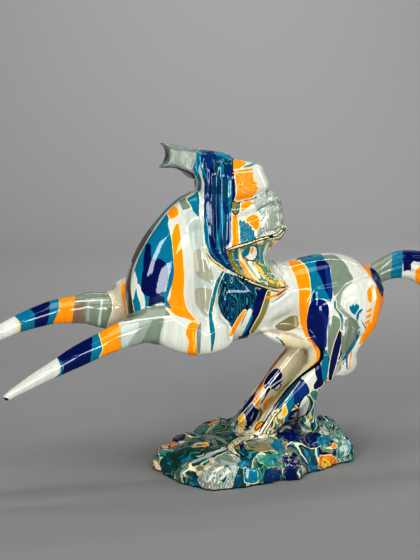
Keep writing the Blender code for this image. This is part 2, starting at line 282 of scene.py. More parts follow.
def stack(name, slices, squareness, facets=()):
    """A loft through slices that run from front to back."""
    rows = smooth_rows([(fx, 0, fh, bx, bh, half) for fx, fh, bx, bh, half in slices])
    across = np.array([0.0, 1.0, 0.0])
    rings = []
    for front_x, _, front_h, back_x, back_h, half in rows:
        front, back = figure_point(front_x, 0, front_h), figure_point(back_x, 0, back_h)
        length = np.linalg.norm(back - front)
        centre, ahead = (front + back) / 2, (front - back) / length
        rings.append(section(centre, ahead, across, length / 2, half * UNIT, squareness, facets))
    return skin(name, rings)


def finished_mesh(mesh, *modifiers):
    """The mesh with modifiers applied: each is (type, its settings)."""
    carrier = bpy.data.objects.new("carrier", mesh)
    bpy.context.scene.collection.objects.link(carrier)
    for kind, settings in modifiers:
        modifier = carrier.modifiers.new(kind, kind)
        for setting, value in settings.items():
            setattr(modifier, setting, value)
    bpy.context.view_layer.update()
    result = bpy.data.meshes.new_from_object(carrier.evaluated_get(bpy.context.evaluated_depsgraph_get()))
    bpy.data.objects.remove(carrier)
    return result


def muzzle():
    """The head ends in a short muzzle, cut off by a round scoop across it."""
    scoop_x, scoop_height, scoop_radius = -128, 337, 17
    place = Matrix.Translation(figure_point(scoop_x, 0, scoop_height))
    place = place @ Matrix.Rotation(math.pi / 2, 4, "X")
    bm = bmesh.new()
    bmesh.ops.create_cone(
        bm, cap_ends=True, segments=96, radius1=scoop_radius * UNIT, radius2=scoop_radius * UNIT,
        depth=60 * UNIT, matrix=place,
    )
    mesh = bpy.data.meshes.new("scoop")
    bm.to_mesh(mesh)
    bm.free()
    scoop = bpy.data.objects.new("scoop", mesh)
    bpy.context.scene.collection.objects.link(scoop)
    whole = limb("muzzle", MUZZLE, 4)
    cut = finished_mesh(whole, ("BOOLEAN", {"operation": "DIFFERENCE", "object": scoop}))
    bpy.data.objects.remove(scoop)
    return cut


# The rock's outline on the ground, as shares of half its length and depth, and how high it stands
ROCK_OUTLINE = [
    (-1.00, 0.15), (-0.99, -0.10), (-0.94, -0.32), (-0.83, -0.65), (-0.74, -0.88), (-0.57, -0.98),
    (-0.33, -1.02), (-0.05, -0.93), (0.34, -0.73), (0.68, -0.51), (0.85, -0.27), (0.93, -0.04),
    (0.96, 0.32), (0.84, 0.64), (0.58, 0.86), (0.22, 0.99), (-0.16, 1.00), (-0.54, 0.88), (-0.83, 0.62),
]
ROCK_CREST_AT = (-1.0, -0.85, -0.55, -0.2, 0.1, 0.6, 0.85, 1.0)
ROCK_CREST = (0.34, 0.63, 0.71, 0.92, 1.0, 1.0, 1.20, 1.18)
BOULDERS = 26
BOULDER_SIZE = 0.12        # half a boulder's width, as a share of the rock's length
BOULDER_SPREAD = 0.86      # how far out the last one lies, as a share of the way to the edge
GOLDEN_TURN = 0.381966     # from one boulder to the next, as a share of a full turn


def rock_outline():
    """The rock's edge on the ground, smoothed and slightly ragged, in metres."""
    closed = ROCK_OUTLINE[-1:] + ROCK_OUTLINE + ROCK_OUTLINE[:2]
    rows = smooth_rows([(x, y, 0) for x, y in closed], steps=4)[4:-5]
    ragged = 1 + 0.015 * np.sin(np.arange(len(rows)) * 1.9) + 0.01 * np.sin(np.arange(len(rows)) * 0.83)
    return rows[:, :2] * ragged[:, None] * (ROCK_LENGTH / 2, ROCK_DEPTH / 2)


def rock_top(x, share):
    """The mound's height at x, where share is 0 at its middle and 1 at its edge."""
    crest = np.interp(x / (ROCK_LENGTH / 2), ROCK_CREST_AT, ROCK_CREST)
    return ROCK_HEIGHT * crest * (1 - share**4) ** 0.6


def rock_mound():
    """A low domed mound on the outline."""
    outline = rock_outline()
    rings = []
    for share in (1.0, 0.995, 0.98, 0.95, 0.9, 0.82, 0.7, 0.55, 0.35, 0.12):
        rings.append([(x * share, y * share, rock_top(x * share, share)) for x, y in outline])
    return skin("rock mound", rings)


def add_node(tree, kind, inputs=(), **settings):
    """A node with its settings made: inputs are (socket, value or a socket to link from)."""
    made = tree.nodes.new(kind)
    for setting, value in settings.items():
        setattr(made, setting, value)
    for socket, value in inputs:
        if isinstance(value, bpy.types.NodeSocket):
            tree.links.new(value, made.inputs[socket])
        else:
            made.inputs[socket].default_value = value
    return made


def boulder_tree():
    """A tree that sets a lumpy boulder on each point, sized and turned by the point's own attributes."""
    tree = bpy.data.node_groups.new("boulders", "GeometryNodeTree")
    tree.interface.new_socket("Geometry", in_out="OUTPUT", socket_type="NodeSocketGeometry")
    for name, kind in (("Geometry", "Geometry"), ("Roughness", "Float"), ("Lump Size", "Float"),
                       ("Seed", "Float"), ("Material", "Material")):
        tree.interface.new_socket(name, in_out="INPUT", socket_type="NodeSocket" + kind)
    given = tree.nodes.new("NodeGroupInput").outputs
    ball = add_node(tree, "GeometryNodeMeshIcoSphere", [("Radius", 1.0), ("Subdivisions", 4)])
    size = add_node(tree, "GeometryNodeInputNamedAttribute", [("Name", "boulder_size")],
                    data_type="FLOAT_VECTOR")
    turn = add_node(tree, "GeometryNodeInputNamedAttribute", [("Name", "boulder_turn")],
                    data_type="FLOAT_VECTOR")
    placed = add_node(tree, "GeometryNodeInstanceOnPoints", [
        ("Points", given["Geometry"]), ("Instance", ball.outputs["Mesh"]),
        ("Rotation", turn.outputs["Attribute"]), ("Scale", size.outputs["Attribute"]),
    ])
    real = add_node(tree, "GeometryNodeRealizeInstances", [("Geometry", placed.outputs[0])])
    lumps = add_node(tree, "ShaderNodeTexNoise", [
        ("W", given["Seed"]), ("Scale", given["Lump Size"]), ("Detail", 1.0),
    ], noise_dimensions="4D")
    push = add_node(tree, "ShaderNodeMath", [(0, lumps.outputs[0]), (1, 0.5)], operation="SUBTRACT")
    push = add_node(tree, "ShaderNodeMath", [(0, push.outputs[0]), (1, given["Roughness"])],
                    operation="MULTIPLY")
    normal = tree.nodes.new("GeometryNodeInputNormal")
    offset = add_node(tree, "ShaderNodeVectorMath", [
        (0, normal.outputs[0]), ("Scale", push.outputs[0]),
    ], operation="SCALE")
    rough = add_node(tree, "GeometryNodeSetPosition", [
        ("Geometry", real.outputs[0]), ("Offset", offset.outputs[0]),
    ])
    here = tree.nodes.new("GeometryNodeInputPosition")
    above = add_node(tree, "ShaderNodeVectorMath", [
        (0, here.outputs[0]), (1, (-10.0, -10.0, 0.0)),
    ], operation="MAXIMUM")
    stood = add_node(tree, "GeometryNodeSetPosition", [
        ("Geometry", rough.outputs[0]), ("Position", above.outputs[0]),
    ])
    coated = add_node(tree, "GeometryNodeSetMaterial", [
        ("Geometry", stood.outputs[0]), ("Material", given["Material"]),
    ])
    result = tree.nodes.new("NodeGroupOutput")
    tree.links.new(coated.outputs[0], result.inputs[0])
    return tree


def boulders(clay):
    """Boulders in a spiral over the mound: they break up its top and its rim."""
    rng = np.random.default_rng(11)
    outline = rock_outline()
    points, sizes, turns = [], [], []
    for k in range(BOULDERS):
        share = math.sqrt((k + 0.5) / BOULDERS) * BOULDER_SPREAD
        edge_x, edge_y = outline[int(k * GOLDEN_TURN * len(outline)) % len(outline)]
        x, y = edge_x * share, edge_y * share
        top = rock_top(x, share)
        room = (1.06 - share) * math.hypot(edge_x, edge_y)
        wide = min(BOULDER_SIZE * ROCK_LENGTH, room) * rng.uniform(0.85, 1.15)
        points.append((x, y, top * 0.36))
        sizes.append((wide * 1.15, wide * 0.9, top * 0.75))
        turns.append((0, 0, rng.uniform(0, math.pi)))
    mesh = bpy.data.meshes.new("boulder places")
    mesh.from_pydata(points, [], [])
    for name, rows in (("boulder_size", sizes), ("boulder_turn", turns)):
        mesh.attributes.new(name, "FLOAT_VECTOR", "POINT").data.foreach_set("vector", np.ravel(rows))
    carrier = bpy.data.objects.new("boulder places", mesh)
    modifier = carrier.modifiers.new("boulders", "NODES")
    modifier.node_group = boulder_tree()
    wanted = {"Roughness": 0.006, "Lump Size": 55.0, "Seed": 4.0, "Material": clay}
    for item in modifier.node_group.interface.items_tree:
        if item.name in wanted:
            modifier[item.identifier] = wanted[item.name]
    bpy.context.scene.collection.objects.link(carrier)
    result = bpy.data.meshes.new_from_object(carrier.evaluated_get(bpy.context.evaluated_depsgraph_get()))
    bpy.data.objects.remove(carrier)
    return result


def block_out(clay):
    """All the overlapping closed blocks of the figure and its rock."""
    forward, up_and_near, ahead_and_near = (-1, 0, 0), (0, -0.6, 0.8), (-0.64, -0.41, 0.64)
    blocks = [
        limb("torso", TORSO, 2.3),
        stack("neck", NECK, 2.4, [(forward, 0.94)]),
        stack("mane", MANE, 3.6),
        muzzle(),
        limb("near foreleg", NEAR_FORELEG, 3.6, [(up_and_near, 0.82)]),
        limb("far foreleg", FAR_FORELEG, 3.6, [(up_and_near, 0.86)]),
        limb("near cannon", NEAR_CANNON, 3.6, [(ahead_and_near, 0.85)]),
        limb("far cannon", FAR_CANNON, 3.6),
        limb("tail", TAIL, 2.6),
        limb("rock spur", SPUR, 2.4),
    ]
    for side in (1, -1):
        ahead_and_out = (-0.75, -0.65 * side, 0)
        thigh = [(x, side * y, h, u, a) for x, y, h, u, a in THIGH]
        fold = [(x, side * y, h, u, a) for x, y, h, u, a in FLANK_FOLD]
        blocks.append(limb("thigh", thigh, 2.4, [(ahead_and_out, 0.92)]))
        blocks.append(limb("flank fold", fold, 2.2))
    return blocks + [rock_mound(), boulders(clay)]


def fuse(blocks):
    """Joins the blocks under one closed skin and softens it."""
    bm = bmesh.new()
    for block in blocks:
        bm.from_mesh(block)
        bpy.data.meshes.remove(block)
    mesh = bpy.data.meshes.new("clay")
    bm.to_mesh(mesh)
    bm.free()
    passes = round((SOFTEN_LENGTH / SKIN_VOXEL) ** 2 * 2)
    return finished_mesh(
        mesh,
        ("REMESH", {"mode": "VOXEL", "voxel_size": SKIN_VOXEL}),
        ("SMOOTH", {"factor": 0.5, "iterations": passes}),
    )


# Sharp and soft lines in the clay: (height or -depth, half width, line of x and height on the grid)
CREASES = {
    "mane lip": (4, 5, [(-49, 226), (-25, 232), (-9, 236), (22, 247), (33, 252)]),
    "mane hem": (3, 4, [(-52, 222), (-42, 204), (-29, 194), (-8, 186), (6, 183), (24, 182)]),
    "mane trough": (-5, 9, [(-36, 214), (-18, 209), (2, 204), (14, 198)]),
    "upper mane fold": (-5, 4, [(-37, 283), (-12, 286), (2, 291), (10, 294)]),
    "middle mane fold": (-3, 4, [(-37, 262), (-20, 266), (-4, 271)]),
    "curtain edge": (
        -3, 3, [(-82, 343), (-78, 303), (-75, 268), (-73, 231), (-66, 217), (-53, 205), (-35, 196)]
    ),
    "curtain flute": (-2.5, 3, [(-60, 335), (-60, 270), (-57, 228)]),
    "thigh fold": (-4, 4, [
        (107, 182), (93, 174), (86, 163), (87, 152), (98, 139), (110, 127), (115, 115),
    ]),
    "thigh ridge": (3, 4, [(84, 156), (94, 145), (97, 134), (92, 112), (86, 88), (79, 67)]),
    "ham groove": (-3, 4, [(115, 115), (109, 103), (98, 89), (88, 73)]),
    "flank hollow": (-6, 9, [(16, 134), (32, 143)]),
    "neck flute": (-5, 8, [(-82, 249), (-77, 204), (-74, 168), (-75, 142)]),
    "shoulder edge": (-5, 4, [(-55, 188), (-59, 174), (-59, 162), (-54, 150), (-45, 140), (-45, 125)]),
}
MANE_WRAPS_ABOVE = 225     # higher than this the creases run all round the mane
MIDLINE_BAND = 8           # lower, none comes nearer than this to the middle
TAIL_GROOVES = (-0.45, 0.1, 0.6)     # where they run, as shares of the tail's half size
TAIL_GROOVE_DEPTH, TAIL_GROOVE_WIDTH = 1.8, 2.5


# The picture's frame: where the eye stands and how the places it sees are numbered
PICTURE_WIDTH, PICTURE_HEIGHT = 420, 560
SIGHT_AZIMUTH, SIGHT_ELEVATION, SIGHT_DISTANCE = math.radians(-15), math.radians(9.5), 1.35
SIGHT_TARGET = Vector((-0.059, 0.0, 0.230))
SIGHT_LENS, SIGHT_FILM = 72.3, 36.0
BACKWARD = Vector((
    math.sin(SIGHT_AZIMUTH) * math.cos(SIGHT_ELEVATION),
    -math.cos(SIGHT_AZIMUTH) * math.cos(SIGHT_ELEVATION),
    math.sin(SIGHT_ELEVATION),
))
EYE = SIGHT_TARGET + BACKWARD * SIGHT_DISTANCE
RIGHTWARD = Vector((0, 0, 1)).cross(BACKWARD).normalized()
UPWARD = BACKWARD.cross(RIGHTWARD)
PICTURE_FOCUS = SIGHT_LENS / SIGHT_FILM * PICTURE_HEIGHT

# Fine lines raised on or pressed into the clay: (height or -depth and half width in mm, line as seen)
FINE_LINES = {
    "muzzle": [
        (-1.2, 1.6, [(167, 145), (170, 151), (169.5, 157), (166, 163)]),
        (0.9, 1.8, [(160, 143), (176, 147), (198, 150)]),
        (0.8, 1.6, [(163, 165), (178, 168), (190, 171)]),
    ],
    "curtain": [
        (-1.5, 2.2, [(211, 154), (209.5, 180), (209, 205), (209, 232), (214, 252), (222, 263)]),
        (-1.7, 2.2, [(218.5, 160), (217.5, 185), (217, 210), (216.5, 235), (221, 254), (229, 268)]),
        (-1.5, 2.0, [(228.5, 165), (227.5, 190), (227, 215), (226.5, 236), (226, 248)]),
        (-1.0, 1.6, [(203, 160), (204, 180), (205, 205), (205, 232), (207, 246)]),
    ],
    "mane": [
        (-1.3, 1.7, [(236, 201.5), (244, 200), (253, 197.5), (262, 191)]),
        (-0.8, 1.4, [(234, 171.5), (243, 170), (254, 167.5)]),
        (-1.1, 1.5, [(250, 205), (262, 199.5), (275, 197)]),
        (-1.2, 1.6, [(256, 211), (268, 205.5), (281, 204)]),
        (-1.0, 1.8, [(260, 220), (268, 213), (282, 213)]),
        (-1.1, 1.7, [(257, 237), (267, 230.5), (280, 227)]),
        (-1.0, 1.6, [(236, 216), (236, 230), (236.5, 246)]),
        (0.8, 1.8, [(240, 218), (240, 232), (240.5, 244)]),
    ],
    "lower fold": [
        (-1.3, 1.6, [(231, 253), (233, 262), (241, 272), (252, 281)]),
        (0.9, 1.5, [(238, 250), (238.5, 259), (245, 268), (256, 279)]),
        (-1.2, 1.5, [(247, 262), (253, 270), (262, 281)]),
        (-1.3, 1.6, [(257, 246), (256.5, 256), (260, 267), (271, 281)]),
        (0.9, 1.4, [(262, 244), (260.5, 254), (265, 265), (278, 281)]),
        (-1.0, 1.4, [(268, 243), (264.5, 252), (267, 260), (280, 276)]),
    ],
    "flank": [
        (-1.6, 1.6, [(268, 256), (276, 265.5), (284, 275)]),
        (-1.4, 1.6, [(271, 303), (281, 297), (289, 288.5)]),
        (-0.8, 2.0, [(268, 316), (279, 307), (292, 297)]),
        (1.0, 2.0, [(263, 331), (274, 329), (287, 332), (300, 338), (309, 346)]),
    ],
    "thigh": [
        (-1.5, 2.0, [(354, 281), (346, 286.5), (341, 294), (339.5, 303), (344, 313), (353, 321)]),
        (1.0, 1.8, [(347, 284), (343, 289), (337.5, 297), (336, 306), (341.5, 315), (350, 321)]),
        (-1.2, 1.6, [
            (335, 300), (335.5, 308), (341, 315.5), (342, 324), (339, 336), (335, 352), (329, 378),
        ]),
        (-1.0, 1.6, [(328, 302), (329.5, 316), (327, 334), (326, 352), (325, 376)]),
        (-0.9, 1.6, [(359, 328), (356, 339), (348, 351), (342, 360)]),
    ],
    "near hind leg": [
        (-1.1, 1.7, [
            (319.5, 345), (321, 355), (316, 365), (305, 373), (295, 382), (284, 394), (274, 407),
        ]),
        (-0.9, 1.5, [(302, 345), (305, 352), (306, 361)]),
        (0.9, 1.6, [(309, 368), (297, 379), (286, 391), (277, 403)]),
    ],
    "near foreleg": [
        (1.0, 1.6, [(63, 354), (90, 340), (119, 324), (150, 318.5), (170, 316.5), (186, 319), (199, 324)]),
        (-1.3, 1.6, [(166, 319), (162.5, 330), (160, 345)]),
        (-0.9, 1.8, [(199, 324), (197, 335), (198, 352)]),
    ],
    "far foreleg": [
        (0.8, 1.3, [(75, 301.5), (92, 300.5), (110, 299.5)]),
        (-0.8, 1.6, [(107, 292), (112, 301), (112, 311), (107, 325)]),
    ],
}


def read_places(mesh):
    rows = np.empty(len(mesh.vertices) * 3)
    mesh.vertices.foreach_get("co", rows)
    return rows.reshape(-1, 3)


def read_normals(mesh):
    rows = np.empty(len(mesh.vertices) * 3)
    mesh.vertex_normals.foreach_get("vector", rows)
    return rows.reshape(-1, 3)


def write_places(mesh, places):
    mesh.vertices.foreach_set("co", places.ravel())
    mesh.update()


def as_seen(places):
    """Where places appear in the picture: across and down, in picture units."""
    towards = places - np.array(EYE)
    depth = towards @ -np.array(BACKWARD)
    across = PICTURE_WIDTH / 2 + towards @ np.array(RIGHTWARD) / depth * PICTURE_FOCUS
    down = PICTURE_HEIGHT / 2 - towards @ np.array(UPWARD) / depth * PICTURE_FOCUS
    return np.column_stack([across, down])


def ramp(value, start, end):
    """0 before start and 1 after end, turning smoothly between them."""
    t = np.clip((value - start) / (end - start), 0, 1)
    return t * t * (3 - 2 * t)


def seen_on_its_own(places):
    """1 on the far legs and the rock, which the picture shows beyond the near side, and 0 elsewhere."""
    x, z = places[:, 0], places[:, 2]
    foreleg = ramp(-x, 0.100, 0.135) * ramp(-z, -0.262, -0.245)
    return np.maximum(foreleg, ramp(-z, -0.155, -0.128))


def picture_places(places):
    """Each place's spot in the picture, with the spots of the far side pushed about."""
    x, y, z = places.T
    own = seen_on_its_own(places)
    spots = as_seen(places)
    stray = ramp(y, 0.022, 0.050) * (1 - own)
    spots[:, 0] += stray * (14 * np.sin(z / 0.031 + 1) + 6 * np.sin(x / 0.017))
    spots[:, 1] += stray * (12 * np.sin(x / 0.029) + 6 * np.sin(z / 0.015 + 2))
    return spots, own


def distance_to_line(points, line):
    """Distance of each point to a line of points, in two dimensions."""
    line = np.array(line, float)
    best = np.full(len(points), np.inf)
    for start, end in zip(line, line[1:]):
        run = end - start
        share = np.clip((points - start) @ run / (run @ run), 0, 1)
        best = np.minimum(best, np.linalg.norm(points - (start + share[:, None] * run), axis=1))
    return best


def carve(mesh):
    """Moves the skin in and out along the creases, on the surfaces that face sideways."""
    places, normals = read_places(mesh), read_normals(mesh)
    side_view = np.column_stack([places[:, 0], places[:, 2] - ROCK_HEIGHT]) / UNIT
    sideways = np.clip(np.abs(normals[:, 1]) * 1.6, 0, 1) * (np.abs(places[:, 1]) > MIDLINE_BAND * UNIT)
    sideways = np.where(side_view[:, 1] > MANE_WRAPS_ABOVE, 1, sideways)
    push = np.zeros(len(places))
    for height, half_width, line in CREASES.values():
        away = distance_to_line(side_view, line) / half_width
        push += height * UNIT * np.exp(-away**2) * sideways
    spine = np.array(TAIL, float)[2:]
    on_tail = sideways * (side_view[:, 0] > spine[0, 0])
    for share in TAIL_GROOVES:
        line = np.column_stack([spine[:, 0], spine[:, 2] + share * spine[:, 3]])
        away = distance_to_line(side_view, line) / TAIL_GROOVE_WIDTH
        push -= TAIL_GROOVE_DEPTH * UNIT * np.exp(-away**2) * on_tail
    write_places(mesh, places + normals * push[:, None])


# Crumpling of the rock: the height of each kind of fold in metres, and how many go to a metre
CRAG_HEIGHT, CRAG_PITCH = 0.0024, 48
FOLD_HEIGHT, FOLD_PITCH = 0.0010, 110
BEND_REACH, BEND_PITCH = 0.011, 38     # how far the crags are bent to the side, and how often
LET_IN = 0.0016                        # the whole is let in by this, so that the rock keeps its size
CRUMPLE_SEED = 11


def crumple_rock(mesh):
    """Crags and small folds over the rock, as if it had run and set."""
    noise.seed_set(CRUMPLE_SEED)
    places, normals = read_places(mesh), read_normals(mesh)
    low = np.where(places[:, 2] < ROCK_HEIGHT + 0.012)[0]
    push = np.zeros(len(places))
    for at in low:
        spot = Vector(places[at])
        bent = spot + noise.noise_vector(spot * BEND_PITCH) * BEND_REACH
        crag = 1 - abs(noise.noise(bent * CRAG_PITCH)) * 2.2
        fold = 1 - abs(noise.noise(bent * FOLD_PITCH + Vector((3, 1, 7)))) * 2.0
        push[at] = CRAG_HEIGHT * crag + FOLD_HEIGHT * fold - LET_IN
    fade = ramp(-places[:, 2], -(ROCK_HEIGHT + 0.010), -(ROCK_HEIGHT - 0.006))
    write_places(mesh, places + normals * (push * fade)[:, None])


def press_lines(mesh):
    """Presses the fine lines into the clay."""
    places, normals = read_places(mesh), read_normals(mesh)
    spots, own = picture_places(places)
    push = np.zeros(len(places))
    for part, lines in FINE_LINES.items():
        where = own > 0.5 if part == "far foreleg" else own <= 0.5
        for height, half_width, line in lines:
            away = distance_to_line(spots, line) / half_width
            push += where * height * 0.001 * np.exp(-away**2)
    write_places(mesh, places + normals * push[:, None])


def stand_flat(mesh):
    """Keeps the skin in the solid's box, and closes the rock's underside with one flat face."""
    places = np.clip(read_places(mesh), cad_low, cad_high)
    places[places[:, 2] < 0.0012, 2] = 0.0
    write_places(mesh, places)
    bm = bmesh.new()
    bm.from_mesh(mesh)
    under = [face for face in bm.faces if all(vert.co.z == 0.0 for vert in face.verts)]
    whole = bmesh.ops.dissolve_faces(bm, faces=under, use_verts=False)["region"]
    bmesh.ops.triangulate(bm, faces=whole, ngon_method="EAR_CLIP")
    bm.to_mesh(mesh)
    bm.free()


lacquer_finish = bpy.data.materials.new("poured_lacquer")
casting_mesh = fuse(block_out(lacquer_finish))
carve(casting_mesh)
crumple_rock(casting_mesh)
press_lines(casting_mesh)
stand_flat(casting_mesh)
casting_mesh.shade_smooth()
casting_mesh.materials.clear()
casting_mesh.materials.append(lacquer_finish)
casting = bpy.data.objects.new("painted_horse_casting", casting_mesh)
bpy.context.scene.collection.objects.link(casting)

# The paint: lacquers poured over the casting one after another, which run down it in bands and drops and
# marble together on the rock. Among them are a few pours of painted shade in hollows and creases and of
# painted highlights along ridges, each marked where it stands. They are set out below as they are seen
# from in front of the near side, in picture units. The far side takes the same pours straight through the
# casting, pushed about.
LACQUERS = {
    "white": "#d8dbd0",
    "cream": "#e6dab0",
    "pale": "#bcc8be",
    "silver": "#9da69c",
    "sage": "#83907f",
    "pewter": "#848f88",
    "taupe": "#aaaa96",
    "sand": "#e0d5b3",
    "tan": "#c1ae80",
    "oatmeal": "#bbb198",
    "linen": "#c6bea9",
    "umber": "#8a7660",
    "khaki": "#8f8560",
    "olive": "#8c8541",
    "yellow": "#f2c53c",
    "orange": "#fb9a0a",
    "rust": "#b4581b",
    "bone": "#c9ccc1",
    "green": "#3f9180",
    "forest": "#17473f",
    "teal": "#007b96",
    "petrol": "#0b5267",
    "blue": "#0a3f84",
    "marine": "#08396b",
    "indigo": "#022168",
    "navy": "#021958",
    "ink": "#060d1a",
    "charcoal": "#3f433e",
}
